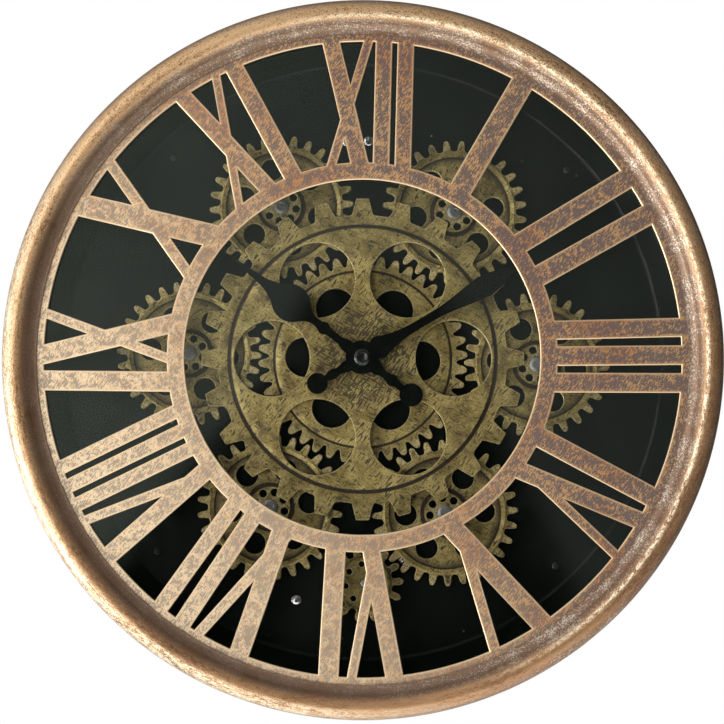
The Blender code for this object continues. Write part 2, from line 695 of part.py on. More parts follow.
def make_planet_gears(material):
    """Six equal gears. Each has a tooth in the gap of the sun gear that faces it."""
    teeth = tooth_stations(PLANET_TEETH, PLANET_TOOTH)
    rim_inside = circle(teeth[0][0] - PLANET_RIM, PLANET_RIM_SIDES)
    boss_edge = circle(PLANET_BOSS_RADIUS, PLANET_BOSS_SIDES)
    web_holes = ring_of_circles(WEB_HOLE_RADIUS, WEB_HOLE_SIDES, WEB_HOLE_CIRCLE, WEB_HOLES)
    regions = [(gear_outline(PLANET_TEETH, teeth, 0.0), rim_inside, [], gear_front),
               (rim_inside, boss_edge, web_holes, web_front),
               (boss_edge, None, [bore(STUD_RADIUS, STUD_SIDES)], boss_front)]
    first = None
    for number in range(PLANETS):
        bearing = planet_bearing(number)
        turn = bearing + 180 + 360 * PLANET_STEPS[number] / PLANET_TEETH
        name = f"planet_gear_{number + 1}"
        if first is None:
            first = add_object(name, stepped_plate(gear_back, regions), material, polar(orbit, bearing),
                               turn, PLATE_ROUNDS)
        else:
            copy_object(name, first, polar(orbit, bearing), turn)


def make_drive_gear(material, steel):
    """The driving gear has a gap where the planet that it turns has a tooth."""
    teeth = tooth_stations(DRIVE_TEETH, DRIVE_TOOTH)
    disc_edge = circle(teeth[0][0] - DRIVE_RIM, DRIVE_DISC_SIDES)
    seat = bore(DRIVE_SHAFT_RADIUS, STUD_SIDES)
    regions = [(gear_outline(DRIVE_TEETH, teeth, 180 / DRIVE_TEETH), disc_edge, [], gear_front),
               (disc_edge, None, [seat], gear_front + DRIVE_DISC_PROUD)]
    add_object("drive_gear", stepped_plate(gear_back, regions), material, drive_centre(),
               DRIVE_BEARING + 180, PLATE_ROUNDS)
    shaft = [(0.0, case_front + CLEAR), (DRIVE_SHAFT_RADIUS, case_front + CLEAR),
             (DRIVE_SHAFT_RADIUS, gear_front + DRIVE_DISC_PROUD), (0.0, gear_front + DRIVE_DISC_PROUD)]
    add_object("drive_shaft", turned(shaft, STUD_SIDES), steel, drive_centre(), DRIVE_BEARING + 180)


def make_planet_studs(steel):
    """Shouldered studs that carry the planets, riveted over behind the pan."""
    rivet_front = PAN_DEPTH - CLEAR
    rivet_back = rivet_front - STUD_RIVET_HEIGHT
    cap_back = boss_front + CLEAR
    profile = [(0.0, rivet_back), (STUD_RIVET_RADIUS, rivet_front), (STUD_NECK_RADIUS, rivet_front),
               (STUD_NECK_RADIUS, pan_front + CLEAR), (STUD_SPACER_RADIUS, pan_front + CLEAR),
               (STUD_SPACER_RADIUS, gear_back - CLEAR), (STUD_RADIUS, gear_back - CLEAR),
               (STUD_RADIUS, cap_back), (STUD_CAP_RADIUS, cap_back),
               (STUD_CAP_RADIUS * STUD_CAP_FLAT, cap_back + STUD_CAP_HEIGHT),
               (0.0, cap_back + STUD_CAP_HEIGHT)]
    first = add_object("planet_stud_1", turned(profile, STUD_SIDES), steel, polar(orbit, planet_bearing(0)))
    for number in range(1, PLANETS):
        copy_object(f"planet_stud_{number + 1}", first, polar(orbit, planet_bearing(number)), 0.0)


def make_hub(brass, steel):
    """Hub of the sun gear and the wheel, the fixed bush in it, its nut and its collar."""
    seat = bore_corner(BUSH_RADIUS, HUB_SIDES)
    nut_back = pan_front + CLEAR
    nut_front = nut_back + NUT_THICKNESS
    hub_back = nut_front + CLEAR
    sun_seat = gear_back - CLEAR
    hub = [(seat, hub_back), (HUB_FLANGE_RADIUS, hub_back), (HUB_FLANGE_RADIUS, sun_seat),
           (HUB_RADIUS, sun_seat), (HUB_RADIUS, gear_front + CLEAR),
           (HUB_FLANGE_RADIUS, gear_front + CLEAR), (HUB_FLANGE_RADIUS, wheel_back - CLEAR),
           (HUB_RADIUS, wheel_back - CLEAR), (HUB_RADIUS, disc_front + CLEAR),
           (HUB_FLANGE_RADIUS, disc_front + CLEAR), (HUB_FLANGE_RADIUS, hub_front), (seat, hub_front)]
    add_object("wheel_hub", turned(hub, HUB_SIDES), brass)
    bush_bore = bore_corner(PIPE_RADIUS, HUB_SIDES)
    bush = [(bush_bore, case_front + CLEAR), (BUSH_RADIUS, case_front + CLEAR),
            (BUSH_RADIUS, bush_front), (bush_bore, bush_front)]
    add_object("centre_bush", turned(bush, HUB_SIDES), brass)
    hexagon = bore_corner(BUSH_RADIUS, 6)
    nut = [(hexagon, nut_back), (NUT_RADIUS, nut_back), (NUT_RADIUS, nut_front), (hexagon, nut_front)]
    add_object("bush_nut", turned(nut, 6), steel)
    collar = [(seat, collar_back), (COLLAR_RADIUS, collar_back),
              (COLLAR_RADIUS, bush_front), (seat, bush_front)]
    add_object("hub_collar", turned(collar, HUB_SIDES), brass)


# Hands

def make_hands(black, brass, steel):
    back_end = case_front + 2 * CLEAR
    pipe_bore = bore_corner(ARBOR_RADIUS, STUD_SIDES)
    pipe = [(pipe_bore, back_end), (PIPE_RADIUS, back_end), (PIPE_RADIUS, hour_front), (pipe_bore, hour_front)]
    add_object("hour_pipe", turned(pipe, STUD_SIDES), brass)
    arbor_end = cap_nut_back + CAP_NUT_HEIGHT / 2
    arbor = [(0.0, back_end), (ARBOR_RADIUS, back_end), (ARBOR_RADIUS, arbor_end), (0.0, arbor_end)]
    add_object("minute_arbor", turned(arbor, STUD_SIDES), steel)
    hour = plate(hand_outline(HOUR_BLADE, HOUR_TAIL, HOUR_BALL),
                 [bore(PIPE_RADIUS, STUD_SIDES)], hour_back, hour_front)
    add_object("hour_hand", hour, black, turn=HOUR_ANGLE, round_below=PLATE_ROUNDS)
    minute = plate(hand_outline(MINUTE_BLADE, MINUTE_TAIL, MINUTE_BALL),
                   [bore(ARBOR_RADIUS, STUD_SIDES)], minute_back, minute_front)
    add_object("minute_hand", minute, black, turn=MINUTE_ANGLE, round_below=PLATE_ROUNDS)
    bore_end = arbor_end + CLEAR
    top = cap_nut_back + CAP_NUT_HEIGHT
    nut = [(0.0, bore_end), (pipe_bore, bore_end), (pipe_bore, cap_nut_back),
           (CAP_NUT_RADIUS, cap_nut_back),
           (CAP_NUT_RADIUS, cap_nut_back + CAP_NUT_HEIGHT / 2), (CAP_NUT_RADIUS * CAP_NUT_FLAT, top),
           (0.0, top)]
    add_object("hand_nut", turned(nut, STUD_SIDES), black)


# Behind the pan

def housing(name, width, height, centre, back, material):
    """Closed housing with its edges broken by one flat each."""
    case = add_object(name, plate(rectangle(width, height, centre), [], back, case_front), material,
                      round_below=0)
    modifier = case.modifiers.new("broken_edges", "BEVEL")
    modifier.width = CASE_CORNER
    modifier.segments = 1
    modifier.limit_method = "NONE"
    return case


def bay(centre, cells, back):
    """Open bay for cells that lie side by side along X."""
    long = CELL_LENGTH + CELL_NUB + 2 * CELL_ROOM
    high = 2 * (CELL_RADIUS + CELL_ROOM) + (cells - 1) * (MOTOR_CELLS[0][1] - MOTOR_CELLS[1][1])
    floor = back + 2 * (CELL_RADIUS + CELL_ROOM)
    return plate(rectangle(long, high, centre), [], back - CELL_RADIUS, floor)


def make_cell(name, centre, back, material):
    """Dry cell that lies along X in a bay whose mouth is at the depth back."""
    half = CELL_LENGTH / 2
    shift = CELL_NUB / 2
    profile = [(0.0, -half - shift), (CELL_RADIUS, -half - shift), (CELL_RADIUS, half - shift),
               (CELL_NUB_RADIUS, half - shift), (CELL_NUB_RADIUS, half + CELL_NUB - shift),
               (0.0, half + CELL_NUB - shift)]
    mesh = turned(profile, STUD_SIDES)
    bmesh.ops.transform(mesh, matrix=Matrix.Rotation(radians(90), 4, "Z"), verts=mesh.verts)
    depth = back + CELL_RADIUS + CELL_ROOM
    bmesh.ops.translate(mesh, vec=(0.0, -depth, 0.0), verts=mesh.verts)
    add_object(name, mesh, material, centre)


def make_movement(plastic, cell_material):
    case = housing("movement_case", MOVEMENT_SIDE, MOVEMENT_SIDE, (0.0, 0.0), movement_back, plastic)
    cell_centre = (0.0, -MOVEMENT_CELL_DROP)
    cut(case, add_cutter("movement_bay", bay(cell_centre, 1, movement_back), plastic))
    stem_room = bore_corner(KNOB_STEM_RADIUS, STUD_SIDES)
    socket = turned([(0.0, movement_back - KNOB_STEM), (stem_room, movement_back - KNOB_STEM),
                     (stem_room, movement_back + KNOB_STEM + CLEAR),
                     (0.0, movement_back + KNOB_STEM + CLEAR)], STUD_SIDES, centre=KNOB_PLACE)
    cut(case, add_cutter("knob_socket", socket, plastic))
    make_cell("movement_cell", cell_centre, movement_back, cell_material)
    knob_front = movement_back - CLEAR
    knob_back = knob_front - KNOB_THICKNESS
    flute = pi * KNOB_RADIUS / KNOB_FLUTES / 2
    grip = gear_outline(KNOB_FLUTES, ((KNOB_RADIUS * FLUTE_ROOT, flute), (KNOB_RADIUS, flute * FLUTE_TIP)), 0.0)
    solid = Solid()
    stem = circle(KNOB_STEM_RADIUS, STUD_SIDES)
    solid.bridge(solid.loop(grip, knob_back), solid.loop(grip, knob_front))
    solid.bridge(solid.loop(stem, knob_front), solid.loop(stem, movement_back + KNOB_STEM))
    solid.fill([solid.loop(grip, knob_back)])
    solid.fill([solid.loop(grip, knob_front), solid.loop(stem, knob_front)])
    solid.fill([solid.loop(stem, movement_back + KNOB_STEM)])
    add_object("setting_knob", solid.finish(), plastic, KNOB_PLACE)


def make_gear_motor(plastic, cell_material):
    case = housing("gear_motor_case", MOTOR_WIDTH, MOTOR_HEIGHT, motor_place(), motor_back, plastic)
    middle = ((MOTOR_CELLS[0][0] + MOTOR_CELLS[1][0]) / 2, (MOTOR_CELLS[0][1] + MOTOR_CELLS[1][1]) / 2)
    cut(case, add_cutter("motor_bay", bay(motor_place(middle), 2, motor_back), plastic))
    switch_place = motor_place(SWITCH_PLACE)
    slot_width = SWITCH_WIDTH + SWITCH_TRAVEL + 2 * CLEAR
    slot_centre = shifted(switch_place, (SWITCH_TRAVEL / 2, 0.0))
    slot = plate(rectangle(slot_width, SWITCH_HEIGHT + 2 * CLEAR, slot_centre), [],
                 motor_back - SWITCH_SLOT_DEPTH, motor_back + SWITCH_SLOT_DEPTH)
    cut(case, add_cutter("switch_slot", slot, plastic))
    bosses = [plate(screw_hole(centre), [], case_front - MOTOR_SCREW_HOLE, case_front + CASE_CORNER)
              for centre in motor_screw_places()]
    cut(case, add_cutter("motor_screw_bosses", joined(bosses), plastic))
    for number, centre in enumerate(MOTOR_CELLS, start=1):
        make_cell(f"motor_cell_{number}", motor_place(centre), motor_back, cell_material)
    slider = plate(rectangle(SWITCH_WIDTH, SWITCH_HEIGHT), [], motor_back - SWITCH_PROUD,
                   motor_back + SWITCH_SLOT_DEPTH - CLEAR)
    add_object("gear_switch", slider, plastic, switch_place)


def domed_screw(head, sides, tail_depth, tail_head=None, tail_seat=None):
    """Screw or rivet with a domed head in front of the pan and, on a rivet, a set head behind."""
    seat = pan_front + CLEAR
    profile = [(0.0, tail_depth), (SCREW_SHANK, tail_depth), (SCREW_SHANK, seat), (head, seat),
               (head * HEAD_FLAT, seat + HEAD_HEIGHT), (0.0, seat + HEAD_HEIGHT)]
    if tail_head:
        profile[:2] = [(0.0, tail_depth), (tail_head, tail_seat), (SCREW_SHANK, tail_seat)]
    return turned(profile, sides)


def make_fasteners(black, chrome):
    rivet_seat = case_front - HANGER_SHEET - CLEAR
    bracket_screw = domed_screw(SCREW_HEAD, SCREW_SIDES, case_front - BRACKET_SCREW_REACH)
    motor_screw = domed_screw(RIVET_HEAD, RIVET_SIDES, case_front - MOTOR_SCREW_REACH)
    hanger_rivet = domed_screw(RIVET_HEAD, RIVET_SIDES, rivet_seat - HANGER_RIVET_REACH,
                               SCREW_HEAD, rivet_seat)
    sets = (("bracket_screw", bracket_places(), bracket_screw, black),
            ("motor_screw", motor_screw_places(), motor_screw, chrome),
            ("hanger_rivet", rivet_places, hanger_rivet, chrome))
    for name, places, mesh, material in sets:
        first = add_object(f"{name}_1", mesh, material, places[0])
        for number, place in enumerate(places[1:], start=2):
            copy_object(f"{name}_{number}", first, place, 0.0)


def build():
    for old in list(bpy.data.objects):
        bpy.data.objects.remove(old)
    copper = make_material("copper_paint", (0.62, 0.36, 0.23), 0.8, 0.42)
    gold = make_material("antique_brass_paint", (0.36, 0.30, 0.13), 0.7, 0.45)
    black_paint = make_material("black_enamel", (0.012, 0.013, 0.013), 0.0, 0.4)
    black_hand = make_material("black_hand_paint", (0.010, 0.011, 0.011), 0.0, 0.3)
    glass = make_material("clear_glass", (0.9, 0.93, 0.92), 0.0, 0.02, 0.12)
    rubber = make_material("gasket_rubber", (0.02, 0.02, 0.02), 0.0, 0.8)
    steel = make_material("zinc_steel", (0.55, 0.55, 0.53), 0.9, 0.35)
    chrome = make_material("chrome", (0.75, 0.76, 0.77), 1.0, 0.12)
    brass = make_material("turned_brass", (0.60, 0.45, 0.18), 1.0, 0.3)
    plastic = make_material("black_plastic", (0.02, 0.02, 0.021), 0.0, 0.5)
    cell = make_material("cell_label", (0.10, 0.12, 0.13), 0.3, 0.35)
    make_bezel(copper)
    make_numeral_plate(copper)
    make_glass(glass, rubber)
    make_back_pan(black_paint)
    make_brackets(steel)
    make_hanger(steel)
    make_sun_gear(gold)
    make_gear_wheel(gold)
    make_planet_gears(gold)
    make_drive_gear(gold, steel)
    make_planet_studs(steel)
    make_hub(brass, steel)
    make_hands(black_hand, brass, steel)
    make_movement(plastic, cell)
    make_gear_motor(plastic, cell)
    make_fasteners(black_paint, chrome)


build()
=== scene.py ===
import json
from math import acos, atan2, cos, degrees, hypot, pi, radians, sin

import bmesh
import bpy
import numpy as np
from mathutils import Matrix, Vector
from mathutils.geometry import delaunay_2d_cdt


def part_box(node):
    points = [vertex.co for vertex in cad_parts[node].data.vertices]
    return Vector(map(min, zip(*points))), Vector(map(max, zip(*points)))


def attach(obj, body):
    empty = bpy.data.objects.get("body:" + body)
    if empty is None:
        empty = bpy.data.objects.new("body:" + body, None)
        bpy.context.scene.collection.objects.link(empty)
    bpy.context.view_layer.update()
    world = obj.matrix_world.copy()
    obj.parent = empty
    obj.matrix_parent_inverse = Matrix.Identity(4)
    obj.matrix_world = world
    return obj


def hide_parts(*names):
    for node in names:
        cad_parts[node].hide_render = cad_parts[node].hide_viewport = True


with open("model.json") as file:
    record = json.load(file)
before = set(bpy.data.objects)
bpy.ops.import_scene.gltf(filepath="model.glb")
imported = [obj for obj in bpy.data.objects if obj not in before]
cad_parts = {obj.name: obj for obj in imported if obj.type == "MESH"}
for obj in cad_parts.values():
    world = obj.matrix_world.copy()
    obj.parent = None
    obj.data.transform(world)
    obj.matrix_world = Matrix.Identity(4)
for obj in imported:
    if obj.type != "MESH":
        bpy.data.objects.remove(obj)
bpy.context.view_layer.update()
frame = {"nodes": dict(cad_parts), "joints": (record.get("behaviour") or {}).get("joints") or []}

GAP = 0.0003                    # between pieces that touch, as in the CAD
SAME = 1e-7                     # places closer than this are one
EVEN_RISE = 0.866               # height of an even triangle of side 1
EDGE_SHARE = 0.55               # filling points stay this share of their spacing off every edge
MITRE_LIMIT = 1.5

# Rim
RIM_RADIUS = 0.2650
RIM_SHEET = 0.0015
ROLL_RADIUS = 0.0095
COVE_RADIUS = 0.0080
WALL_FLANGE = 0.0100
RIM_SIDES = 240

# Numeral plate
STACK_RADIUS = 0.2467
WINDOW_RADIUS = 0.2345
CHAPTER_OUTER = 0.1439
CHAPTER_INNER = 0.1310
PLATE_SPACING = 0.0024
PAN_SHEET = 0.0015
# Strokes of each numeral, as (cap offset, foot offset, width), clockwise from the hour's ray
NUMERALS = {
    12: ((-0.0231, -0.0020, 0.0133), (0.0047, -0.0219, 0.0071),
         (0.0164, 0.0141, 0.0124), (0.0327, 0.0303, 0.0124)),
    1: ((0.0016, 0.0014, 0.0173),),
    2: ((-0.0158, -0.0138, 0.0156), (0.0151, 0.0141, 0.0158)),
    3: ((-0.0209, -0.0189, 0.0141), (-0.0004, 0.0002, 0.0144), (0.0201, 0.0197, 0.0145)),
    4: ((-0.0161, -0.0133, 0.0151), (0.0033, 0.0148, 0.0132), (0.0340, 0.0118, 0.0072)),
    5: ((-0.0158, 0.0054, 0.0159), (0.0236, 0.0018, 0.0082)),
    6: ((-0.0236, -0.0071, 0.0133), (0.0074, -0.0095, 0.0073), (0.0246, 0.0194, 0.0150)),
    7: ((-0.0314, -0.0140, 0.0148), (0.0017, -0.0179, 0.0081),
        (0.0159, 0.0103, 0.0131), (0.0358, 0.0269, 0.0122)),
    8: ((-0.0341, -0.0161, 0.0136), (-0.0032, -0.0176, 0.0073),
        (0.0101, 0.0040, 0.0107), (0.0251, 0.0187, 0.0106), (0.0399, 0.0337, 0.0105)),
    9: ((-0.0176, -0.0186, 0.0149), (0.0016, 0.0234, 0.0145), (0.0325, -0.0011, 0.0074)),
    10: ((-0.0059, 0.0211, 0.0173), (0.0314, -0.0103, 0.0088)),
    11: ((-0.0185, 0.0018, 0.0133), (0.0101, -0.0221, 0.0066), (0.0253, 0.0227, 0.0141)),
}

# Gear train. Teeth are (radius, half width) from the gap's bottom to the tip
TRAIN_TURN = -2.0
SUN_TEETH = 42
SUN_TOOTH = ((0.0702, 0.0049), (0.0708, 0.0041), (0.0725, 0.0036), (0.0753, 0.0029),
             (0.0770, 0.0022), (0.0780, 0.0013), (0.0783, 0.0005))
PLANET_TEETH = 28
PLANET_TOOTH = ((0.0462, 0.0043), (0.0467, 0.0032), (0.0478, 0.0028), (0.0516, 0.00235),
                (0.0532, 0.0018), (0.0540, 0.0012), (0.0543, 0.0005))
PLANET_STEPS = (23, 10, 13, 9, 24, 19)
BOSS_TURNS = (15, 10, 37, 27, 28, 9)
DRIVE_TEETH = 14
DRIVE_TOOTH = ((0.0206, 0.0038), (0.0212, 0.0026), (0.0225, 0.0024), (0.0256, 0.0027),
               (0.0276, 0.0020), (0.0285, 0.0012), (0.0288, 0.0005))
DRIVE_TURN = 41.0
GEAR_BORE = 0.0080
WHEEL_TEETH = 24
WHEEL_TOOTH = ((0.1080, 0.0093), (0.1084, 0.0084), (0.1092, 0.0078), (0.1198, 0.0050), (0.1205, 0.0043))


def polar(radius, angle, centre=(0.0, 0.0)):
    """Point at an angle in degrees, anticlockwise from +X as the dial is seen."""
    return (centre[0] + radius * cos(radians(angle)), centre[1] + radius * sin(radians(angle)))


def circle(radius, sides, centre=(0.0, 0.0)):
    return [polar(radius, 360 * n / sides, centre) for n in range(sides)]


def arc(centre, radius, start, end, steps):
    return [polar(radius, start + (end - start) * n / steps, centre) for n in range(steps + 1)]


def gear_outline(teeth, tooth, phase, centre=(0.0, 0.0)):
    points = []
    for n in range(teeth):
        ray = phase + 360 * n / teeth
        points += [polar(radius, ray - degrees(half / radius), centre) for radius, half in tooth]
        points += [polar(radius, ray + degrees(half / radius), centre) for radius, half in reversed(tooth)]
    return points


def depths(node):
    """Back and front of a CAD node."""
    low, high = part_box(node)
    return -high.y, -low.y


def middle(node):
    low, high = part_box(node)
    return ((low.x + high.x) / 2, (low.z + high.z) / 2)


def body_centre(body):
    """Where the axis of a turning body stands."""
    place = next(joint["pos_m"] for joint in frame["joints"] if joint["child"] == body)
    return (place[0], place[2])


# Meshes

def put(name, data):
    """Object in the scene from a mesh, a lamp or a camera."""
    made = bpy.data.objects.new(name, data)
    bpy.context.scene.collection.objects.link(made)
    return made


def add_piece(name, points, faces, material, body, slot, stands_for=(), round_below=35, values=None):
    """Closed piece from points of (across, up, depth), on a body and in place of CAD nodes."""
    mesh = bpy.data.meshes.new(name)
    mesh.from_pydata([(x, -depth, z) for x, z, depth in points], [], faces)
    work = bmesh.new()
    work.from_mesh(mesh)
    bmesh.ops.recalc_face_normals(work, faces=work.faces)
    work.to_mesh(mesh)
    work.free()
    for label, numbers in (values or {}).items():
        layer = mesh.attributes.new(label, "FLOAT", "POINT")
        layer.data.foreach_set("value", np.asarray(numbers, np.float32))
    mesh.materials.append(material)
    if round_below:
        mesh.shade_smooth()
        mesh.set_sharp_from_angle(angle=radians(round_below))
    piece = put(name, mesh)
    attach(piece, body)
    if stands_for:
        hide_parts(*stands_for)
    return piece


def turned_mesh(profile, sides, centre=(0.0, 0.0)):
    """Points and faces of a body turned from a closed profile of (radius, depth)."""
    points = []
    rings = []
    for radius, depth in profile:
        start = len(points)
        if radius < SAME:
            points.append((*centre, depth))
            rings.append([start] * sides)
        else:
            points += [(x, z, depth) for x, z in circle(radius, sides, centre)]
            rings.append(list(range(start, start + sides)))
    faces = []
    for one, other in zip(rings, rings[1:] + rings[:1]):
        for n in range(sides):
            m = (n + 1) % sides
            corners = list(dict.fromkeys((one[n], one[m], other[m], other[n])))
            if len(corners) > 2:
                faces.append(corners)
    return points, faces


def turned(name, profile, sides, material, body, slot, stands_for=(), centre=(0.0, 0.0), round_below=35):
    points, faces = turned_mesh(profile, sides, centre)
    return add_piece(name, points, faces, material, body, slot, stands_for, round_below)


def ring_profile(node, inner, outer):
    """Plain section of a ring or rod, as deep as a CAD node."""
    back, front = depths(node)
    return [(inner, back), (outer, back), (outer, front), (inner, front)]


def rounded_profile(profile, radius, steps=3):
    """Closed profile with each corner that is off the axis replaced by a small curve."""
    result = []
    count = len(profile)
    for n, point in enumerate(profile):
        here = Vector(point)
        before = Vector(profile[n - 1]) - here
        after = Vector(profile[(n + 1) % count]) - here
        if point[0] < SAME:
            result.append(point)
            continue
        reach = min(radius, before.length * 0.45, after.length * 0.45)
        start = here + before.normalized() * reach
        end = here + after.normalized() * reach
        for step in range(steps + 1):
            t = step / steps
            result.append(tuple(start * (1 - t) ** 2 + here * 2 * t * (1 - t) + end * t ** 2))
    return result


def inside(points, polygon):
    """Which points are in a polygon, by counting crossings."""
    x, z = points[:, 0:1], points[:, 1:2]
    ax, az = polygon[:, 0], polygon[:, 1]
    bx, bz = np.roll(ax, -1), np.roll(az, -1)
    crosses = (az > z) != (bz > z)
    slope = np.where(bz == az, 1e-12, bz - az)
    return (crosses & (x < (bx - ax) * (z - az) / slope + ax)).sum(1) % 2 == 1


def gap_to(points, starts, ends):
    """Distance from each point to the nearest of many segments."""
    best = np.full(len(points), 1e9)
    batch = 200
    for first in range(0, len(starts), batch):
        a = starts[first:first + batch]
        way = ends[first:first + batch] - a
        span = np.maximum((way ** 2).sum(1), 1e-18)
        away = points[:, None] - a[None]
        share = np.clip((away * way).sum(2) / span, 0, 1)
        best = np.minimum(best, np.sqrt(((away - share[..., None] * way) ** 2).sum(2)).min(1))
    return best


def solid_outline(owners):
    return 0 in owners and len(owners) == 1


def border_of(triangles):
    directed = {(t[n], t[(n + 1) % 3]) for t in triangles for n in range(3)}
    return sorted((a, b) for a, b in directed if (b, a) not in directed)


def anticlockwise(corners, flat):
    a, b, c = (flat[corner] for corner in corners)
    area = (b[0] - a[0]) * (c[1] - a[1]) - (b[1] - a[1]) * (c[0] - a[0])
    return tuple(corners) if area > 0 else tuple(reversed(corners))


def merged_outline(polygons, keep):
    """Points and edges of the outline of what a set of overlapping polygons leaves."""
    points = []
    faces = []
    for polygon in polygons:
        faces.append(list(range(len(points), len(points) + len(polygon))))
        points += polygon
    flat, _, triangles, _, _, owners = delaunay_2d_cdt([Vector(p) for p in points], [], faces, 0, SAME, True)
    kept = [anticlockwise(t, flat) for t, owner in zip(triangles, owners) if keep(set(owner))]
    border = border_of(kept)
    used = sorted({a for a, b in border})
    place = {vertex: n for n, vertex in enumerate(used)}
    return [tuple(flat[vertex]) for vertex in used], [(place[a], place[b]) for a, b in border]


def relief_mesh(polygons, height, back, spacing, chamfer, creases=(), keep=solid_outline):
    """Plate with a flat back and a front at height(across, up), filled with even triangles.

    A region is kept by the set of polygons that it lies in. The values that come with the mesh
    say how far each point is from the nearest edge.
    """
    points, edges = merged_outline(polygons, keep)
    for loop in creases:
        ring = list(range(len(points), len(points) + len(loop)))
        edges += list(zip(ring, ring[1:] + ring[:1]))
        points += loop
    rough = np.array(points)
    starts = rough[[a for a, b in edges]]
    ends = rough[[b for a, b in edges]]
    low, high = starts.min(0), starts.max(0)
    rise = spacing * EVEN_RISE
    rows = np.arange(low[1] + rise / 2, high[1], rise)
    columns = np.arange(low[0] + spacing / 4, high[0], spacing)
    grid = np.array([(x + spacing / 2 * (n % 2), z) for n, z in enumerate(rows) for x in columns])

    def kept_places(places):
        member = np.stack([inside(places, np.array(polygon)) for polygon in polygons], 1)
        return np.array([keep(set(np.flatnonzero(row))) for row in member])

    grid = grid[kept_places(grid)]
    grid = grid[gap_to(grid, starts, ends) > EDGE_SHARE * spacing]
    points += [tuple(point) for point in grid]
    flat, _, triangles, _, _, _ = delaunay_2d_cdt([Vector(p) for p in points], edges, [], 0, SAME, False)
    flat = np.array([tuple(p) for p in flat])
    centres = flat[np.array(triangles)].mean(1)
    kept = [anticlockwise(t, flat) for t, good in zip(triangles, kept_places(centres)) if good]
    border = border_of(kept)
    inward = np.zeros_like(flat)
    for a, b in border:
        way = flat[b] - flat[a]
        normal = np.array((-way[1], way[0])) / max(hypot(*way), 1e-12)
        inward[a] += normal
        inward[b] += normal
    length = np.maximum(np.sqrt((inward ** 2).sum(1)), 1e-9)
    reach = np.where(length > 1e-6, np.minimum(2 / length, MITRE_LIMIT), 0)
    moved = flat + inward / length[:, None] * (reach * chamfer)[:, None]
    tops = np.array([height(x, z) for x, z in flat])
    used = sorted({corner for t in kept for corner in t})
    front = {vertex: n for n, vertex in enumerate(used)}
    rim = sorted({a for a, b in border})
    outer = {vertex: len(used) + n for n, vertex in enumerate(rim)}
    rear = {vertex: len(used) + len(rim) + n for n, vertex in enumerate(used)}
    mesh_points = [(*moved[v], tops[v]) for v in used] + [(*flat[v], tops[v] - chamfer) for v in rim]
    mesh_points += [(*flat[v], back) for v in used]
    mesh_faces = [tuple(front[v] for v in t) for t in kept]
    mesh_faces += [tuple(rear[v] for v in reversed(t)) for t in kept]
    for a, b in border:
        mesh_faces.append((outer[a], outer[b], front[b], front[a]))
        mesh_faces.append((rear[a], rear[b], outer[b], outer[a]))
    gaps = gap_to(flat[used], flat[[a for a, b in border]], flat[[b for a, b in border]])
    edge = np.concatenate([gaps, np.zeros(len(rim)), gaps])
    return mesh_points, mesh_faces, edge


def relief(name, polygons, height, back, spacing, chamfer, material, body, slot, stands_for=(),
           creases=(), keep=solid_outline, grime_and_shade=None):
    points, faces, edge = relief_mesh(polygons, height, back, spacing, chamfer, creases, keep)
    values = {"edge": edge}
    if grime_and_shade:
        values["grime_and_shade"] = [grime_and_shade(x, z) for x, z, depth in points]
    return add_piece(name, points, faces, material, body, slot, stands_for, values=values)


def radial(stations, centre=(0.0, 0.0)):
    """Function of a place that follows (radius, value) stations round a centre, level past the ends."""
    radii = [radius for radius, value in stations]
    numbers = [value for radius, value in stations]
    return lambda x, z: float(np.interp(hypot(x - centre[0], z - centre[1]), radii, numbers))


# Materials

class Nodes:
    """Short names for the nodes of one tree."""

    def __init__(self, tree):
        self.tree = tree

    def add(self, kind, inputs=None, **settings):
        node = self.tree.nodes.new("ShaderNode" + kind)
        for setting, value in settings.items():
            setattr(node, setting, value)
        self.feed(node, inputs or {})
        return node

    def feed(self, node, inputs):
        for socket, value in inputs.items():
            if isinstance(value, bpy.types.NodeSocket):
                self.tree.links.new(value, node.inputs[socket])
            else:
                node.inputs[socket].default_value = value

    def split(self, vector):
        return tuple(self.add("SeparateXYZ", {0: vector}).outputs)

    def math(self, operation, one, other=0.0):
        return self.add("Math", {0: one, 1: other}, operation=operation).outputs[0]

    def plus(self, first, *others):
        for other in others:
            first = self.math("ADD", first, other)
        return first

    def times(self, first, *others):
        for other in others:
            first = self.math("MULTIPLY", first, other)
        return first

    def step(self, value, low, high, start=0.0, end=1.0):
        """Smooth step from start to end as value goes from low to high."""
        inputs = {"Value": value, "From Min": low, "From Max": high, "To Min": start, "To Max": end}
        return self.add("MapRange", inputs, interpolation_type="SMOOTHSTEP").outputs["Result"]


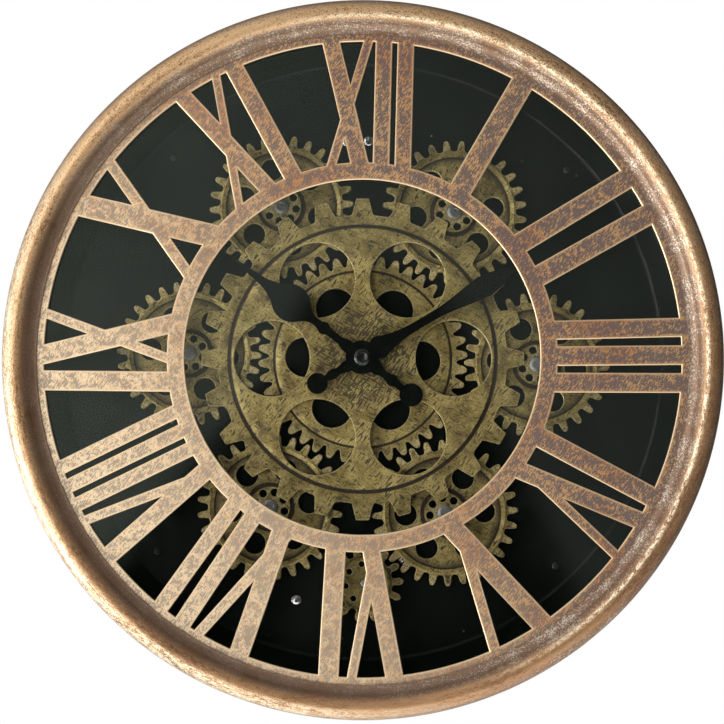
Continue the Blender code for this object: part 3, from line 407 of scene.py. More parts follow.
class Shader(Nodes):
    """Principled material with the patterns that drive it."""

    def __init__(self, name, metallic=0.0, roughness=0.5, **sockets):
        self.material = bpy.data.materials.new(name)
        self.material.use_nodes = True
        super().__init__(self.material.node_tree)
        self.surface = self.tree.nodes["Principled BSDF"]
        self.set("Metallic", metallic)
        self.set("Roughness", roughness)
        for socket, value in sockets.items():
            self.set(socket.replace("_", " "), value)
        self.place = self.add("TexCoord").outputs["Object"]
        self.parts = self.split(self.place)

    def set(self, socket, value):
        self.feed(self.surface, {socket: value})

    def streaks(self, across, up, lean):
        """Coordinates with this many cells per metre across and up, then leant clockwise in degrees."""
        inputs = {"Vector": self.place, "Scale": (1 / across, 1.0, 1 / up),
                  "Rotation": (0.0, radians(lean), 0.0)}
        return self.add("Mapping", inputs, vector_type="TEXTURE").outputs[0]

    def round_dial(self, along, across, depth):
        """Coordinates that run round the dial: along is counts round, across and depth are per metre."""
        x, y, z = self.parts
        radius = self.dial_radius()
        inputs = {0: self.times(self.math("DIVIDE", x, radius), along),
                  1: self.times(self.math("DIVIDE", z, radius), along),
                  2: self.plus(self.times(radius, across), self.times(y, depth))}
        return self.add("CombineXYZ", inputs).outputs[0]

    def dial_radius(self):
        x, y, z = self.parts
        return self.math("SQRT", self.plus(self.times(x, x), self.times(z, z)))

    def drift(self, across, up):
        """Value that grows across and up the dial, per metre, for uneven wear and for painted light that
        falls more on one side.
        """
        x, y, z = self.parts
        return self.plus(self.times(x, across), self.times(z, up))

    def total(self, *rows):
        """Sum of values, each with its weight and counted from its usual middle of one half."""
        parts = [self.times(self.math("SUBTRACT", value, 0.5), weight) for value, weight in rows]
        return self.plus(*parts)

    def noise(self, vector, scale, detail=4.0, rough=0.6, twist=0.0):
        inputs = {"Vector": vector, "Scale": scale, "Detail": detail, "Roughness": rough, "Distortion": twist}
        return self.add("TexNoise", inputs).outputs["Fac"]

    def specks(self, scale, size):
        """Sparse round dots; size is their radius in cells."""
        cells = self.add("TexVoronoi", {"Vector": self.place, "Scale": scale, "Randomness": 1.0})
        chosen = self.step(self.noise(self.place, scale * 0.7, 1.0), 0.53, 0.56)
        return self.times(self.step(cells.outputs["Distance"], size * 0.6, size, 1.0, 0.0), chosen)

    def value(self, name):
        return self.add("Attribute", attribute_name=name).outputs["Fac"]

    def mix(self, share, one, other):
        one = (*one, 1.0) if isinstance(one, tuple) else one
        other = (*other, 1.0) if isinstance(other, tuple) else other
        return self.add("Mix", {0: share, 6: one, 7: other}, data_type="RGBA").outputs[2]

    def bump(self, height, distance, strength=1.0):
        node = self.add("Bump", {"Height": height, "Distance": distance, "Strength": strength})
        self.set("Normal", node.outputs[0])


BRONZE_DARK = (0.23, 0.115, 0.052)
BRONZE = (0.50, 0.275, 0.130)
BRONZE_LIGHT = (0.88, 0.575, 0.300)
BRONZE_WASH = (0.120, 0.073, 0.052)
# Tone of the flake speckle, which is partly a painted sheen
BRONZE_FLAKE_SHEEN = (0.80, 0.690, 0.570)
# Pale tone of the painted highlights on the crest and the outer roll
BRONZE_PAINTED_HIGHLIGHT = (0.96, 0.860, 0.620)


def rim_shader():
    """Bronze paint with fine streaks and speckles and a dark patina in the hollow; painted light makes it
    paler towards the top, the flake speckle doubles as a painted sheen on the right, and painted highlights
    lie on the crest at the right and on the outer roll at the lower left.
    """
    shader = Shader("copper_rim_paint", metallic=0.8, roughness=0.38, Coat_Weight=0.45, Coat_Roughness=0.30)
    fine = shader.noise(shader.round_dial(60.0, 1000.0, 800.0), 1.0, 3.0, 0.65)
    broad = shader.noise(shader.round_dial(14.0, 220.0, 180.0), 1.0, 4.0, 0.65, 0.3)
    cloud = shader.noise(shader.place, 8.0, 3.0, 0.55)
    grain = shader.noise(shader.place, 1000.0, 2.0, 0.8)
    # Grows towards the top: the paler top it gives the rim is painted light.
    lean = shader.drift(-0.15, 0.50)
    tarnish = shader.total((fine, 0.6), (broad, 0.5), (cloud, 0.7), (grain, 0.5))
    tone = shader.mix(shader.step(tarnish, -0.26, 0.06), BRONZE_DARK, BRONZE)
    # Paler bronze from wear at random, and more of it towards the top as painted light.
    wear_and_top_light = shader.plus(shader.total((fine, 0.6), (broad, 0.3), (grain, 1.1), (cloud, 0.4)), lean)
    tone = shader.mix(shader.step(wear_and_top_light, -0.06, 0.22), tone, BRONZE_LIGHT)
    radius = shader.dial_radius()
    hollow = shader.step(radius, 0.2478, 0.2530, 1.0, 0.0)
    outside = shader.step(radius, 0.2560, 0.2625, 0.0, 0.62)
    level = shader.plus(hollow, outside, shader.total((broad, 1.2), (fine, 1.2), (grain, 3.2), (cloud, 1.0)))
    wash = shader.step(level, 0.40, 0.86)
    tone = shader.mix(shader.times(wash, 0.85), tone, BRONZE_WASH)
    # Pale flake speckle in the wash, thinned out towards the lower left; the change from side to side is a
    # painted sheen where the hollow faces the light.
    flakes_and_sheen = shader.noise(shader.place, 780.0, 2.0, 0.8)
    flakes_and_sheen = shader.times(shader.step(shader.total((flakes_and_sheen, 1.0), (broad, 0.5)), 0.02, 0.12), wash,
                          shader.step(shader.drift(0.87, 0.49), -0.16, 0.06, 0.20, 1.0))
    tone = shader.mix(shader.times(flakes_and_sheen, 0.70), tone, BRONZE_FLAKE_SHEEN)
    # Painted highlights: a streaked pale line along the crest on the right and a pale band on the outer roll
    # at the lower left, the sides where the light falls.
    crest = shader.times(shader.step(radius, 0.2502, 0.2520), shader.step(radius, 0.2526, 0.2550, 1.0, 0.0),
                         shader.step(shader.drift(0.87, 0.30), -0.02, 0.12))
    streak = shader.step(shader.total((fine, 1.0), (broad, 0.6), (grain, 0.9)), -0.10, 0.10)
    outer = shader.times(shader.step(radius, 0.2550, 0.2598), shader.step(radius, 0.2638, 0.2649, 0.75, 0.0),
                         shader.step(shader.drift(-0.75, -0.45), 0.04, 0.19))
    painted_highlight = shader.times(shader.math("MAXIMUM", crest, outer), streak)
    shader.set("Base Color", shader.mix(painted_highlight, tone, BRONZE_PAINTED_HIGHLIGHT))
    shader.set("Metallic", shader.plus(shader.step(wash, 0.0, 1.0, 0.75, 0.40), shader.times(flakes_and_sheen, 0.5)))
    shader.set("Roughness", shader.step(wash, 0.0, 1.0, 0.42, 0.50))
    shader.bump(shader.total((fine, 0.5), (grain, 0.8)), 0.0002, 0.5)
    return shader.material


# Cream is worn paint, and on the lower left and along the edges also painted light
PLATE_CREAM = (0.93, 0.73, 0.48)
PLATE_TAN = (0.74, 0.435, 0.205)
PLATE_RUST = (0.62, 0.285, 0.115)
PLATE_WASH = (0.125, 0.096, 0.094)


def plate_shader():
    """Copper paint, dark in the middle of each stroke in brush marks and pale at its edges; painted light
    makes it paler and less washed towards the lower left, and the pale edge line is partly a painted
    highlight.
    """
    shader = Shader("copper_plate_paint", metallic=0.55, roughness=0.42)
    brush = shader.noise(shader.streaks(1000.0, 260.0, 32.0), 1.0, 2.0, 0.6, 0.2)
    patch = shader.noise(shader.place, 115.0, 3.0, 0.65, 0.8)
    warm = shader.noise(shader.place, 15.0, 2.0, 0.5)
    grain = shader.noise(shader.place, 1000.0, 2.0, 0.8)
    # Grows towards the upper right, away from the light: the plate is painted paler and less washed towards
    # the lower left, which is painted light.
    lean = shader.drift(0.87, 0.49)
    gap = shader.value("edge")
    rust = shader.step(shader.total((warm, 1.0), (brush, 0.7)), -0.10, 0.12)
    tone = shader.mix(rust, PLATE_TAN, PLATE_RUST)
    # Cream paint from wear at random and, towards the lower left, as painted light.
    wear_and_painted_light = shader.math("SUBTRACT", shader.total((brush, 0.8), (grain, 0.9)), shader.times(lean, 0.9))
    tone = shader.mix(shader.step(wear_and_painted_light, -0.06, 0.16), tone, PLATE_CREAM)
    ragged = shader.plus(gap, shader.times(shader.total((brush, 1.0), (grain, 0.8)), 0.009))
    inner = shader.step(ragged, 0.0010, 0.0024)
    # The wash also grows towards the upper right, which is painted shade on the side away from the light.
    level = shader.plus(shader.total((patch, 1.5), (brush, 1.8), (grain, 1.2)), shader.drift(0.30, 0.16))
    wash = shader.times(shader.step(level, -0.12, 0.00), inner)
    # Dark wash along the rim's edge that carries on the rim's patina; leaving it off towards the lower left
    # is painted light.
    seam = shader.times(shader.step(shader.dial_radius(), 0.2360, 0.2390), shader.step(lean, -0.16, 0.02),
                        shader.step(shader.total((grain, 1.0), (brush, 0.7)), -0.12, 0.05))
    wash = shader.math("MAXIMUM", wash, seam)
    # Less wash towards the lower left: painted light.
    cover = shader.times(wash, shader.step(lean, -0.15, 0.12, 0.66, 0.92))
    tone = shader.mix(cover, tone, PLATE_WASH)
    # Cream line along every edge, partly worn paint and partly a painted highlight where the edges catch the
    # light.
    tone = shader.mix(shader.step(gap, 0.0, 0.0010, 0.85, 0.0), tone, PLATE_CREAM)
    shader.set("Base Color", tone)
    shader.set("Metallic", shader.step(wash, 0.0, 1.0, 0.6, 0.25))
    shader.set("Roughness", shader.step(wash, 0.0, 1.0, 0.38, 0.50))
    shader.bump(shader.total((brush, 0.7), (grain, 0.6)), 0.00018, 0.5)
    return shader.material


# GOLD_EDGE is the pale edge tone, partly a painted highlight
GOLD_EDGE = (0.92, 0.79, 0.44)
GOLD_LIGHT = (0.62, 0.495, 0.185)
GOLD = (0.30, 0.230, 0.068)
GOLD_BROWN = (0.17, 0.110, 0.062)
GOLD_DARK = (0.040, 0.026, 0.011)
# Dark tone of soiling and painted shade in the grooves and recesses
SOOT_AND_SHADE = (0.045, 0.030, 0.022)


def gold_shader():
    """Antique brass paint on moulded plastic: crossing scratches, specks, soiling and painted shade in the
    grooves and recesses, and pale edges that are partly a painted highlight.
    """
    shader = Shader("gear_paint", metallic=0.45, roughness=0.42)
    one = shader.noise(shader.streaks(150.0, 720.0, 30.0), 1.0, 1.0, 0.5, 0.2)
    other = shader.noise(shader.streaks(720.0, 160.0, 36.0), 1.0, 1.0, 0.5, 0.2)
    cloud = shader.noise(shader.place, 60.0, 3.0, 0.6, 0.5)
    grain = shader.noise(shader.place, 900.0, 2.0, 0.8)
    light = shader.step(shader.total((cloud, 0.7), (one, 0.5), (grain, 1.2)), -0.12, 0.14)
    tone = shader.mix(light, GOLD, GOLD_LIGHT)
    stain = shader.noise(shader.place, 110.0, 3.0, 0.65, 0.6)
    brown = shader.step(shader.total((stain, 1.0), (grain, 0.6)), 0.05, 0.14)
    tone = shader.mix(shader.times(brown, 0.65), tone, GOLD_BROWN)
    worn = shader.step(shader.dial_radius(), 0.024, 0.046, 0.090, -0.030)
    limit = shader.math("SUBTRACT", shader.times(shader.math("SUBTRACT", cloud, 0.5), 0.5), worn)
    first = shader.step(shader.math("SUBTRACT", one, limit), 0.600, 0.640)
    second = shader.step(shader.plus(other, limit, shader.times(worn, 2.0)), 0.600, 0.640)
    dark = shader.math("MAXIMUM", first, second)
    tone = shader.mix(shader.times(dark, 0.9), tone, GOLD_DARK)
    pits = shader.step(shader.total((grain, 1.0), (cloud, -0.5)), 0.095, 0.145)
    tone = shader.mix(shader.times(pits, 0.8), tone, GOLD_DARK)
    gap = shader.value("edge")
    # Pale edges, partly worn paint and partly a painted highlight along the edges.
    wear_and_painted_light = shader.times(shader.step(gap, 0.0, 0.0008, 1.0, 0.0), shader.step(grain, 0.40, 0.60))
    tone = shader.mix(shader.times(wear_and_painted_light, 0.6), tone, GOLD_EDGE)
    # Darkening in the grooves and recesses: soiling and painted shade.
    soot_and_shade = shader.times(shader.value("grime_and_shade"), shader.step(grain, 0.25, 0.5, 0.80, 1.0))
    tone = shader.mix(soot_and_shade, tone, SOOT_AND_SHADE)
    shader.set("Base Color", tone)
    shader.set("Metallic", shader.step(dark, 0.0, 1.0, 0.5, 0.2))
    shader.set("Roughness", shader.step(dark, 0.0, 1.0, 0.38, 0.55))
    shader.bump(shader.total((dark, -0.5), (grain, 0.6)), 0.0002, 0.5)
    return shader.material


def dish_shader():
    """Black enamel on a pressed dish, with a faint haze and a few specks of dust."""
    shader = Shader("dish_enamel", metallic=0.0, roughness=0.45, Specular_IOR_Level=0.10, Coat_Weight=0.18,
                    Coat_Roughness=0.08)
    haze = shader.noise(shader.place, 9.0, 4.0, 0.55, 0.4)
    tone = shader.mix(shader.step(haze, 0.35, 0.70), (0.0012, 0.0018, 0.0014), (0.0034, 0.0046, 0.0038))
    shader.set("Base Color", shader.mix(shader.specks(55.0, 0.03), tone, (0.50, 0.53, 0.48)))
    shader.set("Roughness", shader.step(haze, 0.3, 0.7, 0.38, 0.50))
    shader.bump(shader.noise(shader.place, 40.0, 2.0), 0.00002, 0.3)
    return shader.material


def plain_shader(name, dark, light, metallic, roughness, scale, bump, spread=0.12, level=0.5):
    """Material whose colour and roughness drift between two close tones over a fine grain."""
    shader = Shader(name, metallic=metallic, roughness=roughness, Specular_IOR_Level=level)
    drift = shader.noise(shader.place, scale / 12, 3.0, 0.6, 0.3)
    grain = shader.noise(shader.place, scale, 3.0, 0.65)
    share = shader.plus(shader.times(drift, 0.6), shader.times(grain, 0.4))
    shader.set("Base Color", shader.mix(shader.step(share, 0.35, 0.65), dark, light))
    shader.set("Roughness", shader.step(share, 0.3, 0.7, roughness - spread / 2, roughness + spread / 2))
    shader.bump(grain, bump, 0.5)
    return shader.material


def glass_shader():
    """Flat glass as a clear film that mirrors a little, so that light falls through it unhindered."""
    shader = Shader("pane_glass", IOR=3.0, Specular_IOR_Level=1.0)
    smear = shader.noise(shader.place, 14.0, 5.0, 0.6, 1.0)
    dust = shader.specks(75.0, 0.040)
    tone = shader.mix(smear, (0.004, 0.010, 0.006), (0.010, 0.020, 0.012))
    shader.set("Base Color", shader.mix(dust, tone, (0.70, 0.72, 0.66)))
    shader.set("Specular Tint", (0.86, 1.0, 0.84, 1.0))
    shader.set("Roughness", shader.step(smear, 0.35, 0.75, 0.02, 0.08))
    film = shader.step(smear, 0.30, 0.75, 0.070, 0.090)
    shader.set("Alpha", shader.math("MAXIMUM", film, shader.times(dust, 0.6)))
    return shader.material


copper_rim = rim_shader()
copper_plate = plate_shader()
gold = gold_shader()
dish_paint = dish_shader()
pane_glass = glass_shader()
HAND_BLACK = ((0.0020, 0.0024, 0.0020), (0.0040, 0.0046, 0.0040))
hand_paint = plain_shader("hand_paint", *HAND_BLACK, 0.0, 0.20, 1500.0, 0.00001, level=0.20)
cap_enamel = plain_shader("hand_cap_enamel", *HAND_BLACK, 0.0, 0.12, 1500.0, 0.00001, 0.06, level=0.6)
rubber = plain_shader("gasket_rubber_skin", (0.014, 0.014, 0.015), (0.03, 0.03, 0.03), 0.0, 0.8, 1600.0,
                      0.00008)
zinc = plain_shader("zinc_plating", (0.40, 0.40, 0.37), (0.62, 0.62, 0.60), 0.9, 0.36, 700.0, 0.00003)
pewter = plain_shader("stud_plating", (0.20, 0.20, 0.19), (0.36, 0.36, 0.35), 0.8, 0.38, 900.0, 0.00004)
chrome = plain_shader("chrome_plating", (0.60, 0.61, 0.62), (0.78, 0.79, 0.80), 1.0, 0.14, 900.0, 0.00001,
                      0.06)
brass = plain_shader("turned_brass_skin", (0.42, 0.29, 0.10), (0.66, 0.50, 0.20), 1.0, 0.32, 900.0, 0.00004)
dark_screw = plain_shader("black_screw", (0.006, 0.007, 0.007), (0.020, 0.022, 0.021), 0.3, 0.35, 900.0,
                          0.00003)
plastic = plain_shader("black_moulding", (0.024, 0.024, 0.026), (0.050, 0.050, 0.052), 0.0, 0.50, 1900.0,
                       0.00009)
sleeve = plain_shader("cell_sleeve", (0.030, 0.040, 0.050), (0.055, 0.070, 0.085), 0.2, 0.3, 500.0, 0.00002)


# Rim, numeral plate, glass and dish

def rim_profile(lip_front, lip_back):
    roll_centre = RIM_RADIUS - ROLL_RADIUS
    lip = roll_centre - (ROLL_RADIUS ** 2 + 2 * ROLL_RADIUS * COVE_RADIUS) ** 0.5
    meet = degrees(atan2(COVE_RADIUS, lip - roll_centre))
    roll = arc((roll_centre, lip_front), ROLL_RADIUS, 0, meet, 22)
    cove = arc((lip, lip_front + COVE_RADIUS), COVE_RADIUS, meet - 180, -90, 12)[1:]
    under = arc((roll_centre, lip_front), ROLL_RADIUS - RIM_SHEET, meet, 0, 12)
    wall = RIM_RADIUS - RIM_SHEET
    curve, fold = 0.003, 0.0015
    bend = arc((RIM_RADIUS - curve, curve), curve, -90, 0, 5)
    skirt = lip_back - 0.00022
    return (roll + cove + [(lip - 0.0001, lip_front - 0.0004), (lip, skirt), (lip + 0.0020, skirt),
                           (lip + 0.0024, lip_back), (STACK_RADIUS - 0.0006, lip_back)]
            + under + [(wall, RIM_SHEET + fold), (wall - fold, RIM_SHEET),
                       (RIM_RADIUS - WALL_FLANGE, RIM_SHEET), (RIM_RADIUS - WALL_FLANGE, 0.0)] + bend)


def make_rim():
    lip_front = depths("bezel_ring")[1] - ROLL_RADIUS
    profile = rim_profile(lip_front, lip_front - RIM_SHEET)
    turned("rim", profile, RIM_SIDES, copper_rim, "case", "copper_rim", ["bezel_ring"], round_below=50)


def stroke(hour, cap, foot, width):
    ray = 90 - 30 * hour
    along = Vector(polar(1.0, ray))
    across = Vector(polar(1.0, ray - 90))
    top = along * WINDOW_RADIUS + across * cap
    bottom = along * CHAPTER_OUTER + across * foot
    way = (top - bottom).normalized()
    side = Vector((-way.y, way.x)) * width / 2
    overrun = way * (CHAPTER_OUTER - CHAPTER_INNER)
    top += overrun
    bottom -= overrun
    return [tuple(point) for point in (bottom + side, bottom - side, top - side, top + side)]


def in_plate(owners):
    """Between the outermost and innermost circle, and either in a ring or in a stroke."""
    return 0 in owners and 3 not in owners and (1 not in owners or 2 in owners or max(owners) > 3)


def make_plate():
    back, front = depths("numeral_plate")
    polygons = [circle(STACK_RADIUS, 180), circle(WINDOW_RADIUS, 240), circle(CHAPTER_OUTER, 180),
                circle(CHAPTER_INNER, 180)]
    polygons += [stroke(hour, *row) for hour, rows in NUMERALS.items() for row in rows]
    relief("numerals", polygons, lambda x, z: front, back, PLATE_SPACING, 0.0005, copper_plate, "case",
           "copper_rim", ["numeral_plate"], keep=in_plate)


def make_glass():
    back, front = depths("front_glass")
    flat = STACK_RADIUS - 0.0012
    arris = 0.0004
    rim = [(STACK_RADIUS - arris, back), (STACK_RADIUS, back + arris), (STACK_RADIUS, front - arris),
           (STACK_RADIUS - arris, front)]
    pane = [(0.0, back), (flat, back)] + rim + [(flat, front), (0.0, front)]
    turned("glass_pane", pane, 120, pane_glass, "case", "clear_glass", ["front_glass"], round_below=20)
    seal_width = 0.0080
    seal = rounded_profile(ring_profile("glass_gasket", STACK_RADIUS - seal_width, STACK_RADIUS), 0.0005)
    turned("glass_seal", seal, 120, rubber, "case", "gasket_rubber", ["glass_gasket"])


def make_dish():
    """Floor with its holes, and a wall with rounded corners that joins it at the same circle."""
    back = depths("back_pan")[0]
    floor_radius, wall_radius, bend = 0.2249, 0.2364, 0.0024
    floor = back + PAN_SHEET
    top = depths("glass_gasket")[0] - GAP
    lean = (wall_radius - floor_radius) / (top - floor)
    inner = [(floor_radius - bend, floor), (floor_radius - bend * 0.4, floor + bend * 0.10),
             (floor_radius + bend * 0.05, floor + bend * 0.38), (floor_radius + lean * bend, floor + bend),
             (wall_radius - lean * bend * 0.6, top - bend * 0.6),
             (wall_radius + bend * 0.15, top - bend * 0.12), (wall_radius + bend * 0.5, top)]
    under = top - PAN_SHEET
    outer = [(STACK_RADIUS, top), (STACK_RADIUS, under), (wall_radius + bend * 0.9, under)]
    outer += [(radius + PAN_SHEET * 0.95, depth - PAN_SHEET * 0.45) for radius, depth in reversed(inner[2:5])]
    outer += [(floor_radius - bend * 0.3, back + 0.0003), (floor_radius - bend, back)]
    turned("dish_wall", inner + outer, 160, dish_paint, "case", "black_enamel", ["back_pan"], round_below=60)
    holes = [(f"bracket_screw_{n}", 0.0024) for n in range(1, 5)]
    holes += [(f"{kind}_{n}", 0.0024) for kind in ("motor_screw", "hanger_rivet") for n in (1, 2)]
    holes += [(f"planet_stud_{n}", 0.0029) for n in range(1, 7)]
    holes += [("centre_bush", 0.0044), ("drive_shaft", 0.0037)]
    polygons = [circle(floor_radius - bend, 160)]
    polygons += [circle(radius, 24, middle(node)) for node, radius in holes]
    spacing, chamfer = 0.016, 0.0
    relief("dish_floor", polygons, lambda x, z: floor, back, spacing, chamfer, dish_paint, "case",
           "black_enamel", ["back_pan"])


# Gears

DIMPLE_FLOOR = 0.0031
DIMPLE_BROW = 0.0035
DIMPLE_DEPTH = 0.0006


def make_gear(name, node, body, polygons, rises, dirt_and_shade, sides, spacing, centre=(0.0, 0.0), dimples=()):
    """Gear of moulded plastic; rises are (radius, depth) and the darkening is (radius, share of soiling and
    painted shade), each from its centre.
    """
    shape = radial(rises, centre)

    def height(x, z):
        sunk = any(hypot(x - u, z - v) < (DIMPLE_FLOOR + DIMPLE_BROW) / 2 for u, v in dimples)
        return shape(x, z) - (DIMPLE_DEPTH if sunk else 0.0)

    creases = [circle(radius, sides, centre) for radius, depth in rises]
    creases += [circle(radius, 20, place) for place in dimples for radius in (DIMPLE_FLOOR, DIMPLE_BROW)]
    chamfer = 0.0004
    relief(name, polygons, height, depths(node)[0], spacing, chamfer, gold, body, "gear_plastic", [node],
           creases, grime_and_shade=radial(dirt_and_shade, centre))


def make_wheel():
    front = depths("gear_wheel")[1]
    outer = front - 0.0018
    rises = [(0.0972, front), (0.0980, front - 0.0003), (0.0985, outer - 0.0006),
             (0.1004, outer - 0.0006), (0.1010, outer)]
    # Darkening in the groove round the outer ring: painted shade with some soiling.
    dirt_and_shade = [(0.0974, 0.0), (0.0980, 0.5), (0.0985, 1.0), (0.1004, 1.0), (0.1010, 0.1), (0.13, 0.0)]
    polygons = [gear_outline(WHEEL_TEETH, WHEEL_TOOTH, 0.0)]
    polygons += [circle(0.0283, 64, polar(0.0677, 60 * n)) for n in range(6)]
    polygons.append(circle(GEAR_BORE, 32))
    make_gear("front_gear", "gear_wheel", "front_wheel", polygons, rises, dirt_and_shade, 160, 0.0045)


def make_sun():
    front = depths("sun_gear")[1]
    rim = front - 0.0008
    rises = [(0.0648, front), (0.0654, front - 0.0003), (0.0656, rim - 0.0005), (0.0668, rim - 0.0005),
             (0.0672, rim)]
    # Darkening in the groove and at the tooth roots: painted shade with some soiling.
    dirt_and_shade = [(0.0649, 0.0), (0.0654, 0.6), (0.0656, 1.0), (0.0668, 1.0), (0.0672, 0.1), (0.0700, 0.1),
            (0.0715, 0.25), (0.0740, 0.0)]
    polygons = [gear_outline(SUN_TEETH, SUN_TOOTH, TRAIN_TURN + 180 / SUN_TEETH)]
    polygons += [circle(0.0150, 40, polar(0.0431, TRAIN_TURN + 60 * n)) for n in range(6)]
    polygons.append(circle(GEAR_BORE, 32))
    make_gear("sun", "sun_gear", "front_wheel", polygons, rises, dirt_and_shade, 126, 0.0045)


def make_planets():
    for number, (steps, boss_turn) in enumerate(zip(PLANET_STEPS, BOSS_TURNS)):
        body = f"planet_{number + 1}"
        node = f"planet_gear_{number + 1}"
        centre = body_centre(body)
        turn = TRAIN_TURN + 60 * number + 180 + 360 * steps / PLANET_TEETH
        boss = depths(node)[1]
        rim = boss - 0.0012
        web = rim - 0.0015
        rises = [(0.0149, boss), (0.0153, boss - 0.0004), (0.0157, web - 0.0006), (0.0178, web - 0.0006),
                 (0.0184, web), (0.0402, web - 0.0001), (0.0412, web - 0.0001), (0.0417, rim - 0.0002),
                 (0.0422, rim), (0.0445, rim), (0.0449, rim + 0.0002), (0.0453, rim)]
        # Darkening round the bore, in the grooves and at the tooth roots: painted shade with some soiling.
        dirt_and_shade = [(0.0, 0.0), (0.0055, 0.35), (0.0075, 0.1), (0.0148, 0.1), (0.0157, 1.0), (0.0178, 1.0),
                (0.0184, 0.3), (0.0220, 0.05), (0.0360, 0.05), (0.0402, 0.75), (0.0412, 1.0),
                (0.0417, 0.8), (0.0422, 0.05), (0.0435, 0.0), (0.0462, 0.12), (0.0475, 0.0)]
        dimples = [polar(0.0285, turn + 30 + 60 * n, centre) for n in range(6)]
        polygons = [gear_outline(PLANET_TEETH, PLANET_TOOTH, turn, centre)]
        polygons += [circle(0.0082, 32, polar(0.0292, turn + 60 * n, centre)) for n in range(6)]
        polygons += [circle(0.0029, 18, polar(0.0112, boss_turn + 45 * n, centre)) for n in range(8)]
        polygons.append(circle(0.0044, 24, centre))
        make_gear(body, node, body, polygons, rises, dirt_and_shade, 84, 0.0036, centre, dimples)


def make_driver():
    centre = body_centre("driver")
    disc = depths("drive_gear")[1]
    rim = disc - 0.0015
    rises = [(0.0186, disc), (0.0190, disc - 0.0004), (0.0193, rim)]
    # Darkening round the bore and at the step: painted shade with some soiling.
    dirt_and_shade = [(0.0, 0.0), (0.0035, 0.5), (0.0050, 0.1), (0.0180, 0.0), (0.0190, 0.5), (0.0196, 0.9),
            (0.0210, 0.2), (0.03, 0.0)]
    phase = DRIVE_TURN + 180 / DRIVE_TEETH
    polygons = [gear_outline(DRIVE_TEETH, DRIVE_TOOTH, phase, centre)]
    polygons += [circle(0.0022, 16, polar(0.0142, phase + 45 * n, centre)) for n in range(8)]
    polygons.append(circle(0.0034, 20, centre))
    make_gear("pinion", "drive_gear", "driver", polygons, rises, dirt_and_shade, 60, 0.0030, centre)
    shaft = rounded_profile(ring_profile("drive_shaft", 0.0, 0.0030), 0.0005)
    turned("pinion_shaft", shaft, 32, zinc, "driver", "zinc_steel", ["drive_shaft"], centre)


def make_studs():
    pan = depths("back_pan")[0] + PAN_SHEET
    for number in range(1, 7):
        node = f"planet_stud_{number}"
        back, front = depths(node)
        gear_back, gear_front = depths(f"planet_gear_{number}")
        cap = gear_front + GAP
        riveted = [(0.0, back), (0.0026, back + 0.0002), (0.0042, back + 0.0010), (0.0046, back + 0.0018),
                   (0.0025, back + 0.0018)]
        spacer = [(0.0025, pan + GAP), (0.0070, pan + GAP), (0.0070, gear_back - GAP)]
        pivot = [(0.0040, gear_back - GAP), (0.0040, cap)]
        head = [(0.0057, cap), (0.0057, front - 0.0010), (0.0054, front - 0.0004), (0.0047, front - 0.0001),
                (0.0028, front), (0.0024, front - 0.0004), (0.0, front - 0.0004)]
        profile = riveted + spacer + pivot + head
        turned(f"stud_{number}", profile, 36, pewter, "case", "zinc_steel", [node], middle(node))


def make_hub():
    seat = 0.0043
    back, front = depths("wheel_hub")
    sun_back, sun_front = depths("sun_gear")
    wheel_back, wheel_front = depths("gear_wheel")
    flange, neck = 0.0115, 0.0077
    hub = [(seat, back), (flange, back), (flange, sun_back - GAP), (neck, sun_back - GAP),
           (neck, sun_front + GAP), (flange, sun_front + GAP), (flange, wheel_back - GAP),
           (neck, wheel_back - GAP), (neck, wheel_front + GAP), (flange, wheel_front + GAP),
           (flange, front), (seat, front)]
    turned("hub", rounded_profile(hub, 0.0003, 2), 64, brass, "front_wheel", "turned_brass", ["wheel_hub"])
    rows = (("collar", "hub_collar", "case", seat, 0.0070, 0.0004, 64, brass, "turned_brass"),
            ("bush", "centre_bush", "case", 0.0030, 0.0040, 0.0003, 48, brass, "turned_brass"),
            ("pipe", "hour_pipe", "hour", 0.0020, 0.0026, 0.0002, 40, brass, "turned_brass"),
            ("arbor", "minute_arbor", "minute", 0.0, 0.0016, 0.0003, 32, zinc, "zinc_steel"))
    for name, node, body, inner, outer, curve, sides, material, slot in rows:
        profile = rounded_profile(ring_profile(node, inner, outer), curve)
        turned(name, profile, sides, material, body, slot, [node])
    points, faces = turned_mesh(rounded_profile(ring_profile("bush_nut", 0.0050, 0.0080), 0.0003, 2), 6)
    add_piece("nut", points, faces, zinc, "case", "zinc_steel", ["bush_nut"], round_below=20)


# Hands

HOUR_ANGLE = 142.4
MINUTE_ANGLE = 30.2
HAND_BOSS = 0.0124
HOUR_BLADE = ((0.0156, 0.0048), (0.0204, 0.0031), (0.0252, 0.0028), (0.0319, 0.0032),
              (0.0364, 0.0049), (0.0410, 0.0031), (0.0467, 0.0031), (0.0519, 0.0056),
              (0.0576, 0.0108), (0.0625, 0.0132), (0.0668, 0.0139), (0.0738, 0.0125),
              (0.0816, 0.0072), (0.0905, 0.0038), (0.0994, 0.0026), (0.1280, 0.0005))
HOUR_TAIL = ((0.0140, 0.0048), (0.0193, 0.0028), (0.0230, 0.0030), (0.0282, 0.0045),
             (0.0326, 0.0028), (0.0367, 0.0030))
HOUR_BALL = (0.0456, 0.0087)
MINUTE_BLADE = ((0.0148, 0.0089), (0.0223, 0.0063), (0.0297, 0.0046), (0.0408, 0.0034),
                (0.0557, 0.0032), (0.0705, 0.0037), (0.0831, 0.0053), (0.0994, 0.0077),
                (0.1076, 0.0080), (0.1170, 0.0063), (0.1276, 0.0033), (0.1400, 0.0005))
MINUTE_TAIL = ((0.0145, 0.0044), (0.0200, 0.0029), (0.0245, 0.0039), (0.0289, 0.0029))
MINUTE_BALL = (0.0386, 0.0078)


